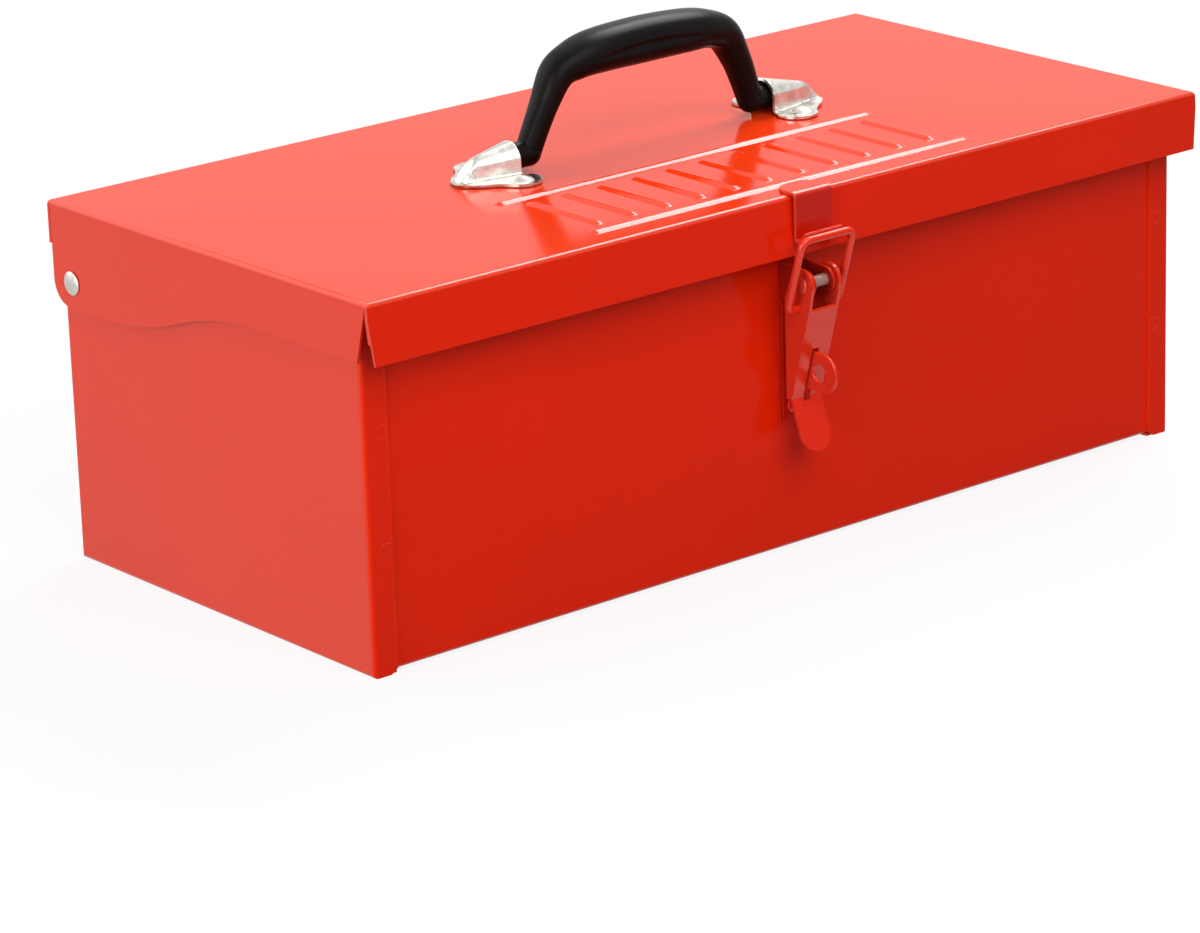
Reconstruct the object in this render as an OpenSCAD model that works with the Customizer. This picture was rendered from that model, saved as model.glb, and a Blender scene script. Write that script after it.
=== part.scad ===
// Flat-lidded steel tool box with a folding carry handle and an over-centre toggle latch.
// The body is a folded trough closed by two flanged end panels, and the lid turns on two rivets
// near its rear edge. X runs along the box, -Y is the front, and Z = 0 is the ground.

/* [Body] */
// Length over the two end panels
body_length = 350; // [250:5:500]
// Depth over the front and rear flanges of the end panels
body_depth = 160; // [130:5:220]
// Height of the front rim above the ground
body_height = 122.4; // [105:0.1:180]
// Thickness of the painted sheet
sheet = 0.9; // [0.7:0.1:1.3]
// Outer radius of the folds in the sheet
fold_r = 1.7; // [1.5:0.1:3]
// Width of the flanges folded round from the end panels
end_flange = 9.5; // [8:0.5:14]
// Depth of the doubled hem along the rims
rim_hem = 6; // [4:0.5:10]

/* [Lid] */
// Room between an end panel and the end flange of the lid
lid_end_gap = 2.3; // [1.6:0.1:4]
// Room between the front of the body and the front flange of the lid
lid_front_gap = 8.2; // [6:0.1:10]
// Room between the back of the body and the rear flange of the lid
lid_back_gap = 1; // [0.8:0.1:2]
// Height of the front flange
front_skirt = 19.9; // [14:0.1:22]
// Height of the rear flange
back_skirt = 14.6; // [10:0.1:14.6]
// Height of the end flanges where they hold the hinge rivets
hinge_skirt = 34.8; // [32:0.1:40]
// How far the front flange leans out at its lower edge
lid_splay = 1.1; // [0:0.1:1.5]
// Distance of the hinge axis from the back of the body
hinge_inset = 10; // [9:0.5:14]
// Depth of the hinge axis below the top of the lid
hinge_drop = 26.1; // [24:0.1:30]
// Length of the straight lower edge of an end flange in front of the hinge
flange_flat = 15; // [10:1:20]
// Length of the curve from there up to the height of the front flange
flange_run = 88; // [60:1:92]
// Shank diameter of the hinge rivets
hinge_rivet_d = 5; // [4:0.5:6]
// Outer diameter of the washers on the hinge rivets
washer_d = 12; // [10:0.5:16]

/* [Pressed beads] */
// Length of the two long beads in the lid
bead_length = 158; // [120:2:170]
// Distance of the front bead from the front of the body
bead_front = 2.8; // [2.5:0.1:6]
// Distance of the rear bead from the bracket plates
bead_back = 6.5; // [3:0.5:8]
// Number of short beads between the two long ones
bead_count = 11; // [5:1:13]
// Height of the beads above the lid
bead_height = 0.8; // [0.5:0.1:1]

/* [Handle] */
// Distance between the feet of the handle's two legs
handle_span = 97; // [80:1:120]
// Height of the middle of the grip above the handle's axis
handle_rise = 29.4; // [26:0.2:40]
// Depth of the grip, front to back
grip_depth = 17; // [14:0.5:19]
// Thickness of the grip, top to bottom
grip_height = 15.2; // [13:0.2:17]
// Thickness of the legs at their feet
leg_d = 9; // [8.4:0.1:10]
// Diameter of the studs that turn in the brackets
stud_d = 8.8; // [7:0.2:9.4]
// Distance of the handle's axis in front of the middle of the body
handle_shift = 4; // [0:0.5:8]
// Distance of the handle's middle to the right of the middle of the body
handle_offset = 1.8; // [0:0.1:4]

/* [Handle brackets] */
// Thickness of the bracket sheet
bracket_sheet = 1.2; // [0.8:0.1:1.5]
// Length of the round tunnel over a stud, up to where it slopes down
tunnel_length = 14; // [12:0.5:20]
// Distance from the handle's axis to each bracket rivet
bracket_lobe = 12.5; // [12:0.5:18]
// Shank diameter of the bracket rivets
bracket_rivet_d = 4; // [3:0.5:5]

/* [Latch] */
// Width of the keeper strap
keeper_width = 16; // [12:1:17]
// Thickness of the latch plates
latch_sheet = 1.2; // [1:0.1:1.4]
// Outer width of the lever over its two cheeks
lever_width = 12.9; // [12:0.1:14]
// Length of the lever from its pin to the fingertip edge
lever_length = 57.5; // [54:0.5:64]
// Diameter of the lever's pin
pin_d = 4; // [3:0.5:5]
// Height of the pin below the top of the lid
pin_drop = 29.6; // [28:0.1:34]
// Distance of the pin in front of the body
pin_reach = 12; // [11:0.5:13]
// Thickness of the loop's wire
wire_d = 2.6; // [2:0.2:3]
// Width of the loop between the centres of its legs
loop_width = 22; // [21:0.5:28]
// Diameter of the padlock eye in the staple
eye_d = 6; // [4:0.5:7]

/* [Hidden] */
$fn = 48;

// Clearances
run_gap = 0.3;     // between flat faces that pass each other
turn_gap = 0.05;   // radial, between a pin and the hole that turns on it
hold_gap = 0.02;   // radial, between a pin and the hole that holds it
swing_gap = 1;     // between the rear rim and the turning lid
over = 1;          // by how much a cut passes the face it opens
skin = 0.3;        // by how much a trim stays off a face that it runs along

// Body
end_x = body_length / 2;
front_y = -body_depth / 2;
back_y = body_depth / 2;
trough_x = end_x - fold_r;
trough_y = body_depth / 2 - sheet;
seam_x = end_x - end_flange;
flange_nip = [2.6, 1.8];   // corner nipped off the lower end of each flange

// Lid
lid_under = body_height + run_gap;
lid_top = lid_under + sheet;
lid_x = end_x + lid_end_gap + sheet;
lid_front = front_y - lid_front_gap - sheet;
lid_back = back_y + lid_back_gap + sheet;
lid_low = lid_top - hinge_skirt;
skirt_y = lid_front - lid_splay;
hinge_y = back_y - hinge_inset;
hinge_z = lid_top - hinge_drop;
flange_gap = 0.5;    // slot between the end flange and the rear flange
flange_slant = 5.8;  // how far the front edge of an end flange slants back
flange_cut = 1.7;    // how far the ends of the front flange slant in
flange_root = 3;     // from the top of the lid down to where those slants start
flange_r = 8.5;      // rounded lower corner of the end flange beside the hinge
curve_steps = 8;
rear_reach = lid_under - hinge_z - swing_gap;
rear_rim = hinge_z + sqrt(rear_reach * rear_reach - hinge_inset * hinge_inset);
slope_y = hinge_y - 12;      // where the rim of an end panel starts to fall to the rear rim
hem_room = 0.4;      // between the hems of an end panel and of the trough
rivet_head = [8, 1.2];     // diameter and height of the hinge rivet's head
rivet_tail = 1;

// Beads
bead_r = 3;
bead_front_y = front_y + bead_front;
bead_z = lid_top + bead_height - bead_r;
rib_margin = 8;      // from the long beads to the ends of the short ones

// Handle
axis_y = -handle_shift;
stud_r = stud_d / 2;
stud_lift = 1.5;     // from the lid up to the studs
stud_reach = 8;      // length of a stud inside its tunnel
axis_z = lid_top + stud_r + stud_lift;
tunnel_gap = 3.2;    // from the side of a leg to the mouth of its tunnel
tunnel_x = handle_span / 2 + leg_d / 2 + tunnel_gap;
tunnel_end = tunnel_x + tunnel_length;
tunnel_r = stud_r + 2 * run_gap;
tunnel_taper = 0.19; // fall of the tunnel's radius for each mm away from the leg
tunnel_ramp = 7.4;   // length of the slope that closes the tunnel
lobe_r = 6.8;
nose_r = 6;
lobe_x = tunnel_x + lobe_r - 2;                      // the lobes reach 2 mm past the mouth
nose_x = tunnel_end + tunnel_ramp - nose_r + 1;      // and the nose 1 mm past the slope
waist_r = 22;        // radius and depth of the hollow sides between the nose and the lobes
waist = 0.9;
bracket_head = [8, 2.2];
bead_rear_y = axis_y - bracket_lobe - lobe_r - bead_back;
bracket_top = lid_top + bracket_sheet;
// Centre line of half the handle, from the middle to the foot:
// distance in from the foot, height above the axis, thickness, depth
handle_path = [
    [handle_span / 2, handle_rise, grip_height, grip_depth],
    [30, handle_rise - 0.3, grip_height - 0.8, grip_depth],
    [20, handle_rise - 1.2, grip_height - 2.2, grip_depth - 1.5],
    [12, handle_rise - 4.4, grip_height - 3.6, grip_depth - 4],
    [6.2, handle_rise - 13.6, leg_d + 0.6, leg_d + 1.6],
    [2.8, handle_rise - 21.6, leg_d - 0.1, leg_d + 0.2],
    [0, 0, leg_d - 0.6, leg_d - 0.6]
];
path_steps = 4;
ring_sides = 20;
ring_power = 2.4;

// Latch
pin_y = front_y - pin_reach;
pin_z = lid_top - pin_drop;
cheek_in = lever_width / 2 - latch_sheet;
ear_x = cheek_in - 1.5 * run_gap;
ear_r = 4.3;
ear_root = 8;        // from the pin down to the foot of an ear
base_y = -trough_y;
base_face = base_y - latch_sheet;
base_drop = 49;      // from the pin down to the lower end of the base
base_rise = 5;       // and up to its upper end
pin_head = [6.2, 1];
cheek_r = 5.3;
web_top = [-3.5, -8.5];      // upper and lower outer corners of the web, from the pin
web_low = [5.5, -40];
cheek_back = 8;              // how far the cheeks reach behind the pin
cheek_shoulder = 6;          // from the pin down to their upper rear corners
slot_size = [3, 18.8];
slot_drop = 22.7;
tab_tip = -0.2;              // how far the fingertip edge lies behind the pin
foot = [1.7, -8.2];          // where the loop turns in the lever, from the pin
bar = [-6, 16.5];            // the loop's bar, from the pin
foot_end = cheek_in - 0.2;
loop_corner = 3;
foot_corner = 2.4;
keeper_y = skirt_y - run_gap;
keeper_fold = 1;
keeper_tab = front_y - 0.2;
keeper_corner = 6;
hook_r = 0.6;
hook_drop = 13.8;    // from the top of the lid to the start of the hook
hook_z = lid_top - hook_drop;
hook_lip = 4.3;
staple_drop = 30.5;
staple_reach = 2.8;  // from the pin's height out to the middle of the staple's nose
eye_inset = [1.5, -0.3];
staple_z = pin_z - staple_drop;
staple_nose = [pin_y - staple_reach, staple_z];
eye_centre = staple_nose + eye_inset;
staple_r = 6.6;
staple_root = 6.75;
staple_foot = [4.2, 10.5];
latch_rivet_d = 3;
latch_rivet_head = [5.6, 1];
latch_rivet_drops = [44, 14];
latch_rivet_tail = 0.8;

// ---- Shared shapes ----

// Sweeps a profile drawn in Y and Z along X
module along_x(x0, x1) {
    translate([x0, 0, 0]) rotate([90, 0, 90]) linear_extrude(x1 - x0) children();
}

// Sweeps a profile drawn in X and Z along Y
module along_y(y0, y1) {
    translate([0, y1, 0]) rotate([90, 0, 0]) linear_extrude(y1 - y0) children();
}

// Mirrors what is drawn for the right-hand end to the left-hand one
module at_side(side) {
    if (side < 0) mirror([1, 0, 0]) children();
    else children();
}

// The same for what belongs to the handle, which stands a little off the middle
module at_handle(side) {
    translate([handle_offset, 0, 0]) at_side(side) children();
}

// Two ends of the tangent between two discs [x, y, radius] on a belt that runs anticlockwise
function tangent(a, b) =
    let (d = [b.x - a.x, b.y - a.y],
         along = d / norm(d),
         k = (a.z - b.z) / norm(d),
         n = k * along + sqrt(1 - k * k) * [along.y, -along.x])
    [for (s = b.z > 0 ? [a, b] : [a]) [s.x, s.y] + s.z * n];

// Outline drawn tight round a ring of discs, like a belt round its pulleys
module belt(discs) {
    last = len(discs) - 1;
    polygon([for (i = [0:last]) each tangent(discs[i], discs[i == last ? 0 : i + 1])]);
    for (s = discs) if (s.z > 0) translate([s.x, s.y]) circle(s.z);
}

// Rounded head standing on the plane X = 0, with a low straight rim: [diameter, height]
module dome(size) {
    rim = size[1] / 5;
    cap = size[1] - rim;
    r = (size[0] * size[0] / 4 + cap * cap) / (2 * cap);
    rotate([0, 90, 0]) rotate_extrude() intersection() {
        translate([0, size[1] - r]) circle(r);
        square([size[0] / 2, size[1] + over]);
    }
}

// Round bar along X, from x0 to x1
module rod(x0, x1, d) {
    translate([x0, 0, 0]) rotate([0, 90, 0]) cylinder(h = x1 - x0, d = d);
}

// Doubled rim with a round top: outer face at 0, and the hem folded towards +X
module hem_profile(top, depth) {
    translate([0, top - depth]) square([2 * sheet, depth - sheet]);
    translate([sheet, top - sheet]) circle(sheet);
}

// ---- Body ----

module trough_outline(inset, top) {
    r = fold_r - inset;
    y = trough_y - inset - r;
    z = sheet + inset + r;
    belt([[-y, z, r], [y, z, r], [trough_y - inset, top, 0], [inset - trough_y, top, 0]]);
}

module trough_profile() {
    difference() {
        trough_outline(0, rear_rim - sheet);
        trough_outline(sheet, body_height + over);
    }
    translate([-trough_y, rear_rim - rim_hem])
        square([sheet, body_height - rear_rim + rim_hem - sheet]);
    translate([-trough_y, 0]) hem_profile(body_height, rim_hem);
    translate([trough_y, 0]) mirror([1, 0]) hem_profile(rear_rim, rim_hem);
}

module body_trough() {
    color([0.80, 0.11, 0.05]) difference() {
        along_x(-trough_x, trough_x) trough_profile();
        for (drop = latch_rivet_drops)
            translate([0, base_y - over, pin_z - drop]) rotate([-90, 0, 0])
                cylinder(h = 2 * over + sheet, d = latch_rivet_d + 2 * hold_gap);
    }
}

// Plan of an end panel with its folds, seen from above
module end_plan(inset) {
    r = fold_r - inset;
    x = end_x - inset;
    y = body_depth / 2 - inset;
    belt([[-x, -y, 0], [x - r, r - y, r], [x - r, y - r, r], [-x, y, 0]]);
}

// The same panel seen from the front
module end_front(inset, top) {
    r = fold_r - inset;
    x = end_x - inset;
    belt([[-x, inset, 0], [x - r, inset + r, r], [x, top, 0], [-x, top, 0]]);
}

module end_solid(inset, top) {
    intersection() {
        translate([0, 0, -over]) linear_extrude(top + 2 * over) end_plan(inset);
        along_y(front_y - over, back_y + over) end_front(inset, top);
    }
}

// Everything above the rim of an end panel, in Y and Z
module above_rim() {
    polygon([[front_y - over, body_height], [slope_y, body_height], [back_y, rear_rim],
        [back_y + over, rear_rim], [back_y + over, 2 * body_height],
        [front_y - over, 2 * body_height]]);
}

// What is nipped off the lower corner of each flange
module nip_outline() {
    polygon([[seam_x - flange_nip.x, -flange_nip.y], [seam_x + 2 * flange_nip.x, -flange_nip.y],
        [seam_x, flange_nip.y], [seam_x - flange_nip.x, flange_nip.y]]);
}

module end_panel(side) {
    hem_y = trough_y - 3 * sheet - hem_room;
    color([0.87, 0.30, 0.25]) at_side(side) difference() {
        union() {
            difference() {
                end_solid(0, body_height + over);
                end_solid(sheet, body_height + 3 * over);
                translate([-end_x - over, front_y - over, -over])
                    cube([end_x + over + seam_x, body_depth + 2 * over, body_height + 4 * over]);
            }
            along_y(-hem_y, slope_y)
                translate([end_x, 0]) mirror([1, 0]) hem_profile(body_height, rim_hem);
        }
        along_x(seam_x - over, end_x + over) above_rim();
        for (at = [[-back_y - over, -trough_y], [trough_y, back_y + over]])
            along_y(at[0], at[1]) nip_outline();
        translate([0, hinge_y, hinge_z])
            rod(end_x - sheet - over, end_x + over, hinge_rivet_d + 2 * hold_gap);
    }
}

// ---- Lid and its hinge ----

// Section of the lid across its length
module lid_section(inset, low) {
    r = fold_r - inset;
    drop = (lid_top - low) / front_skirt;
    belt([[skirt_y + inset - lid_splay * (drop - 1), low, 0], [lid_back - inset, low, 0],
        [lid_back - inset - r, lid_top - inset - r, r],
        [lid_front + inset + r, lid_top - inset - r, r]]);
}

module lid_shell(inset, low) {
    r = fold_r - inset;
    x = lid_x - inset;
    intersection() {
        along_x(-lid_x, lid_x) lid_section(inset, low);
        along_y(skirt_y - 5 * lid_splay - over, lid_back + over)
            belt([[-x, low, 0], [x, low, 0], [x - r, lid_top - inset - r, r],
                [r - x, lid_top - inset - r, r]]);
    }
}

// Two equal arcs from point a down to point b, level at both ends
function double_curve(a, b, steps) =
    let (turn = 2 * atan((a.y - b.y) / (b.x - a.x)),
         r = (b.x - a.x) / (2 * sin(turn)),
         arc = [for (i = [0:steps]) let (t = turn * i / steps) [r * sin(t), r * (cos(t) - 1)]])
    concat([for (p = arc) a + p], [for (i = [steps - 1:-1:0]) b - arc[i]]);

// End flange seen from the end: a slanted front edge, a curved lower edge and a round rear corner
module flange_outline() {
    front = lid_front + flange_gap;
    rear = lid_back - sheet - flange_gap;
    front_low = lid_top - front_skirt;
    flat_y = hinge_y - flange_flat;
    round_y = rear - flange_r;
    polygon(concat(
        [[front, lid_top + over], [front + flange_slant, front_low]],
        double_curve([flat_y - flange_run, front_low], [flat_y, lid_low], curve_steps),
        [[round_y, lid_low], [rear, lid_low + flange_r], [rear, lid_top + over]]));
    translate([round_y, lid_low + flange_r]) circle(flange_r);
}

// One pressed bead from a to b: a round bar with round ends that just breaks the surface
module bead(a, b, r) {
    length = norm(b - a);
    translate([a.x, a.y, bead_z]) rotate([0, 90, atan2(b.y - a.y, b.x - a.x)])
        rotate_extrude() intersection() {
            belt([[0, 0, r], [0, length, r]]);
            translate([0, -r]) square([r, length + 2 * r]);
        }
}

module beads(r) {
    half = bead_length / 2;
    for (y = [bead_front_y, bead_rear_y]) bead([-half, y], [half, y], r);
    pitch = bead_length / bead_count;
    for (i = [0:bead_count - 1]) {
        x = (i + 0.5) * pitch - half;
        bead([x, bead_front_y + rib_margin], [x, bead_rear_y - rib_margin], r);
    }
}

// Block across the whole lid that keeps what lies between y0 and y1 and above z0
module keep(y0, y1, z0) {
    translate([-lid_x - over, y0, z0]) cube([2 * (lid_x + over), y1 - y0, lid_top + over - z0]);
}

// Front flange seen from the front, its ends slanting in
module front_flange_outline() {
    low = lid_x - flange_cut;
    polygon([[-low, lid_top - front_skirt], [low, lid_top - front_skirt],
        [lid_x + skin, lid_top - flange_root], [lid_x + skin, lid_top + over],
        [-lid_x - skin, lid_top + over], [-lid_x - skin, lid_top - flange_root]]);
}

// The folded sheet: a shell trimmed to its four flanges, which stay open at the corners
module lid_sheet() {
    intersection() {
        difference() {
            lid_shell(0, lid_low - over);
            lid_shell(sheet, lid_low - 3 * over);
        }
        union() {
            keep(2 * lid_front, lid_back + over, lid_under - sheet / 2);
            along_y(2 * lid_front, lid_front + sheet + skin) front_flange_outline();
            keep(lid_back - sheet - flange_gap / 2, lid_back + over, lid_top - back_skirt);
            for (side = [-1, 1]) at_side(side)
                along_x(lid_x - 2 * sheet, lid_x + over) flange_outline();
        }
    }
}

module lid() {
    color([1, 0.34, 0.26]) difference() {
        union() {
            lid_sheet();
            intersection() {
                beads(bead_r);
                translate([-lid_x, lid_front, lid_under]) cube([2 * lid_x, body_depth, 2 * sheet]);
            }
        }
        intersection() {
            beads(bead_r - sheet);
            translate([-lid_x, lid_front, lid_under - over])
                cube([2 * lid_x, body_depth, 3 * sheet + over]);
        }
        for (side = [-1, 1]) {
            at_side(side) translate([0, hinge_y, hinge_z])
                rod(lid_x - sheet - over, lid_x + over, hinge_rivet_d + 2 * turn_gap);
            at_handle(side) bracket_holes(lid_under - over);
        }
    }
}

module lid_rivet(side) {
    color([0.82, 0.79, 0.74]) at_side(side) translate([0, hinge_y, hinge_z]) {
        rod(end_x - sheet, lid_x + run_gap, hinge_rivet_d);
        translate([lid_x + run_gap, 0, 0]) dome(rivet_head);
        rod(end_x - sheet - rivet_tail, end_x - sheet, rivet_head[0]);
    }
}

module lid_washer(side) {
    color([0.75, 0.75, 0.74]) at_side(side) translate([0, hinge_y, hinge_z]) difference() {
        rod(end_x, lid_x - sheet - run_gap, washer_d);
        rod(end_x - over, lid_x, hinge_rivet_d + 2 * turn_gap);
    }
}

// ---- Handle ----

// Points of one ring of the handle: a squarish oval across the centre line
function ring(at, lean, size) =
    [for (i = [0:ring_sides - 1])
        let (a = 360 * i / ring_sides,
             u = sign(cos(a)) * pow(abs(cos(a)), 2 / ring_power) * size[0] / 2,
             v = sign(sin(a)) * pow(abs(sin(a)), 2 / ring_power) * size[1] / 2)
        [handle_offset + at[0] + u * cos(lean), axis_y + v, axis_z + at[1] + u * sin(lean)]];

// Smooth curve through a list of rows, at place t between rows i and i + 1
function smooth(rows, i, t) =
    let (n = len(rows) - 1,
         a = rows[max(i - 1, 0)], b = rows[i], c = rows[min(i + 1, n)], d = rows[min(i + 2, n)])
    0.5 * (2 * b + (c - a) * t + (2 * a - 5 * b + 4 * c - d) * t * t
        + (3 * b - a - 3 * c + d) * t * t * t);

module handle_sweep() {
    half = [for (p = handle_path) [handle_span / 2 - p[0], p[1], p[2], p[3]]];
    rows = concat([for (i = [len(half) - 1:-1:1]) [-half[i][0], half[i][1], half[i][2], half[i][3]]],
        half);
    steps = (len(rows) - 1) * path_steps;
    curve = [for (i = [0:steps])
        let (k = min(floor(i / path_steps), len(rows) - 2))
        smooth(rows, k, i / path_steps - k)];
    rings = [for (i = [0:steps])
        let (a = curve[max(i - 1, 0)], b = curve[min(i + 1, steps)])
        ring(curve[i], atan2(b[1] - a[1], b[0] - a[0]) + 90, [curve[i][2], curve[i][3]])];
    n = ring_sides;
    polyhedron(
        points = [for (r = rings) each r],
        faces = concat(
            [[for (j = [n - 1:-1:0]) j]],
            [[for (j = [0:n - 1]) steps * n + j]],
            [for (i = [0:steps - 1], j = [0:n - 1])
                let (k = (j + 1) % n, a = i * n + j, b = i * n + k)
                each [[a, b, a + n], [b, b + n, a + n]]]),
        convexity = 6);
}

module handle_grip() {
    color([0.10, 0.09, 0.09]) {
        handle_sweep();
        for (side = [-1, 1]) at_handle(side) translate([0, axis_y, axis_z]) {
            translate([handle_span / 2, 0, 0]) sphere(d = leg_d);
            rod(handle_span / 2, tunnel_x, stud_d);
            translate([tunnel_x, 0, 0]) rotate([0, 90, 0])
                cylinder(h = stud_reach, r1 = stud_r, r2 = stud_r - tunnel_taper * stud_reach);
        }
    }
}

// ---- Handle brackets ----

module bracket_holes(low) {
    for (s = [-1, 1]) translate([lobe_x, axis_y + s * bracket_lobe, low])
        cylinder(h = bracket_top - low + over, d = bracket_rivet_d + 2 * hold_gap);
}

// Cone-topped tunnel that narrows away from the leg and is closed by a slope.
// It starts at x0, rises from low, and lies inset under the tunnel's outer face.
module tunnel(inset, x0, low) {
    far = tunnel_end + tunnel_ramp;
    r = tunnel_r + bracket_sheet - inset + tunnel_taper * (tunnel_x - x0);
    r_far = r - tunnel_taper * (far - x0);
    slope = inset * sqrt(2);
    intersection() {
        union() {
            translate([x0, axis_y, axis_z]) rotate([0, 90, 0])
                cylinder(h = far - x0, r1 = r, r2 = r_far);
            translate([0, axis_y, low]) linear_extrude(axis_z - low)
                polygon([[x0, -r], [far, -r_far], [far, r_far], [x0, r]]);
        }
        along_y(axis_y - 2 * tunnel_r, axis_y + 2 * tunnel_r)
            polygon([[x0 - over, low - over], [far - slope, low - over],
                [far - slope, bracket_top - inset],
                [tunnel_end - slope, bracket_top - inset + tunnel_ramp],
                [tunnel_end - slope, axis_z + 2 * tunnel_r], [x0 - over, axis_z + 2 * tunnel_r]]);
    }
}

module bracket_outline() {
    reach = norm([nose_x - lobe_x, bracket_lobe]);
    along = [nose_x - lobe_x, bracket_lobe] / reach;
    difference() {
        belt([[lobe_x, axis_y - bracket_lobe, lobe_r], [nose_x, axis_y, nose_r],
            [lobe_x, axis_y + bracket_lobe, lobe_r]]);
        for (s = [-1, 1])
            translate([(nose_x + lobe_x) / 2, axis_y + s * bracket_lobe / 2]
                    + ((lobe_r + nose_r) / 2 + waist_r - waist) * [along.y, s * along.x])
                circle(waist_r);
    }
}

module handle_bracket(side) {
    color([0.86, 0.84, 0.80]) at_handle(side) difference() {
        union() {
            translate([0, 0, lid_top]) linear_extrude(bracket_sheet) bracket_outline();
            tunnel(0, tunnel_x, lid_top);
        }
        tunnel(bracket_sheet, tunnel_x - lobe_r, lid_top - over);
        bracket_holes(lid_top - over);
    }
}

module handle_rivets(side) {
    color([0.88, 0.86, 0.82]) at_handle(side)
        for (s = [-1, 1]) translate([lobe_x, axis_y + s * bracket_lobe, 0]) {
            translate([0, 0, bracket_top]) rotate([0, -90, 0]) dome(bracket_head);
            translate([0, 0, lid_under]) cylinder(h = bracket_top - lid_under, d = bracket_rivet_d);
            translate([0, 0, lid_under - rivet_tail])
                cylinder(h = rivet_tail, d = 1.6 * bracket_rivet_d);
        }
}

// ---- Latch ----

// Part of a ring round the origin, from angle a0 to a1
module ring_part(r, a0, a1) {
    intersection() {
        difference() {
            circle(r + latch_sheet);
            circle(r);
        }
        polygon(concat([[0, 0]], [for (a = [a0:45:a1]) 3 * (r + latch_sheet) * [cos(a), sin(a)]]));
    }
}

// Keeper seen from the end: a tab on the lid, a leg down the front flange and a hook
module keeper_profile() {
    fold_y = keeper_y + keeper_fold;
    hook_y = keeper_y - latch_sheet - hook_r;
    translate([fold_y, lid_top]) square([keeper_tab - fold_y, latch_sheet]);
    translate([fold_y, lid_top - keeper_fold]) ring_part(keeper_fold, 90, 180);
    translate([keeper_y - latch_sheet, hook_z]) square([latch_sheet, lid_top - keeper_fold - hook_z]);
    translate([hook_y, hook_z]) {
        ring_part(hook_r, -135, 0);
        rotate(-135) translate([hook_r, -hook_lip]) square([latch_sheet, hook_lip]);
    }
}

module latch_keeper() {
    half = keeper_width / 2;
    far = keeper_tab + lid_front;
    color([0.80, 0.18, 0.12]) intersection() {
        along_x(-half, half) keeper_profile();
        translate([0, 0, lid_top - 2 * front_skirt]) linear_extrude(3 * front_skirt)
            belt([[-half, far, 0], [half, far, 0],
                [half - keeper_corner, keeper_tab - keeper_corner, keeper_corner],
                [keeper_corner - half, keeper_tab - keeper_corner, keeper_corner]]);
    }
}

module latch_base() {
    color([0.75, 0.14, 0.08]) difference() {
        union() {
            translate([-ear_x, base_face, pin_z - base_drop])
                cube([2 * ear_x, latch_sheet, base_drop + base_rise]);
            for (side = [-1, 1]) at_side(side)
                along_x(ear_x - latch_sheet, ear_x)
                    belt([[base_face, pin_z - ear_root, 0], [base_face, pin_z + base_rise, 0],
                        [pin_y, pin_z, ear_r]]);
        }
        translate([0, pin_y, pin_z]) rod(-lever_width, lever_width, pin_d + 2 * hold_gap);
        for (drop = latch_rivet_drops)
            translate([0, base_face - over, pin_z - drop]) rotate([-90, 0, 0])
                cylinder(h = 2 * over + latch_sheet, d = latch_rivet_d + 2 * hold_gap);
    }
}

module latch_rivets() {
    color([0.70, 0.12, 0.07]) for (drop = latch_rivet_drops) translate([0, 0, pin_z - drop]) {
        translate([0, base_face, 0]) rotate([0, 0, -90]) dome(latch_rivet_head);
        translate([0, base_face, 0]) rotate([0, 0, 90])
            rod(0, latch_sheet + sheet + latch_rivet_tail, latch_rivet_d);
        translate([0, base_y + sheet, 0]) rotate([0, 0, 90])
            rod(0, latch_rivet_tail, latch_rivet_head[0] - latch_rivet_tail);
    }
}

module latch_pin() {
    head_x = lever_width / 2 + run_gap;
    color([0.80, 0.16, 0.10]) translate([0, pin_y, pin_z]) {
        rod(-head_x, head_x, pin_d);
        for (side = [-1, 1]) at_side(side) translate([head_x, 0, 0]) dome(pin_head);
    }
}

module lever_cheek() {
    belt([[web_top.x, web_top.y, 0], [web_low.x, web_low.y, 0], [cheek_back, web_low.y, 0],
        [cheek_back, -cheek_shoulder, 0], [0, 0, cheek_r]]);
}

module latch_lever() {
    half = lever_width / 2;
    web = web_low - web_top;
    web_lean = atan2(web.x, -web.y);
    depth = latch_sheet * [cos(web_lean), sin(web_lean)];
    start = web_low + depth / 2;
    tip = [tab_tip, -lever_length] - start;
    tab_lean = atan2(tip.x, -tip.y);
    tab_r = half - latch_sheet / 4;
    color([0.80, 0.27, 0.21]) translate([0, pin_y, pin_z]) difference() {
        union() {
            for (side = [-1, 1]) at_side(side) along_x(cheek_in, half) lever_cheek();
            along_x(latch_sheet / 2 - half, half - latch_sheet / 2)
                polygon([web_top, web_low, web_low + depth, web_top + depth]);
            translate([0, start.x, start.y]) rotate([90 + tab_lean, 0, 0])
                translate([0, 0, -latch_sheet / 2]) linear_extrude(latch_sheet) {
                    translate([-tab_r, tab_r - norm(tip)])
                        square([2 * tab_r, norm(tip) - tab_r + latch_sheet / 2]);
                    translate([0, tab_r - norm(tip)]) circle(tab_r);
                }
        }
        rod(-lever_width, lever_width, pin_d + 2 * turn_gap);
        translate([0, foot.x, foot.y]) rod(-lever_width, lever_width, wire_d + 2 * turn_gap);
        translate([-slot_size[0] / 2, -cheek_back, -slot_drop - slot_size[1]])
            cube([slot_size[0], 2 * cheek_back, slot_size[1]]);
    }
}

// Quarter turn of the loop's wire in the XZ plane, from +X towards +Z
module wire_corner(r) {
    rotate([90, 0, 0]) rotate_extrude(angle = 90) translate([r, 0]) circle(d = wire_d);
}

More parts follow.
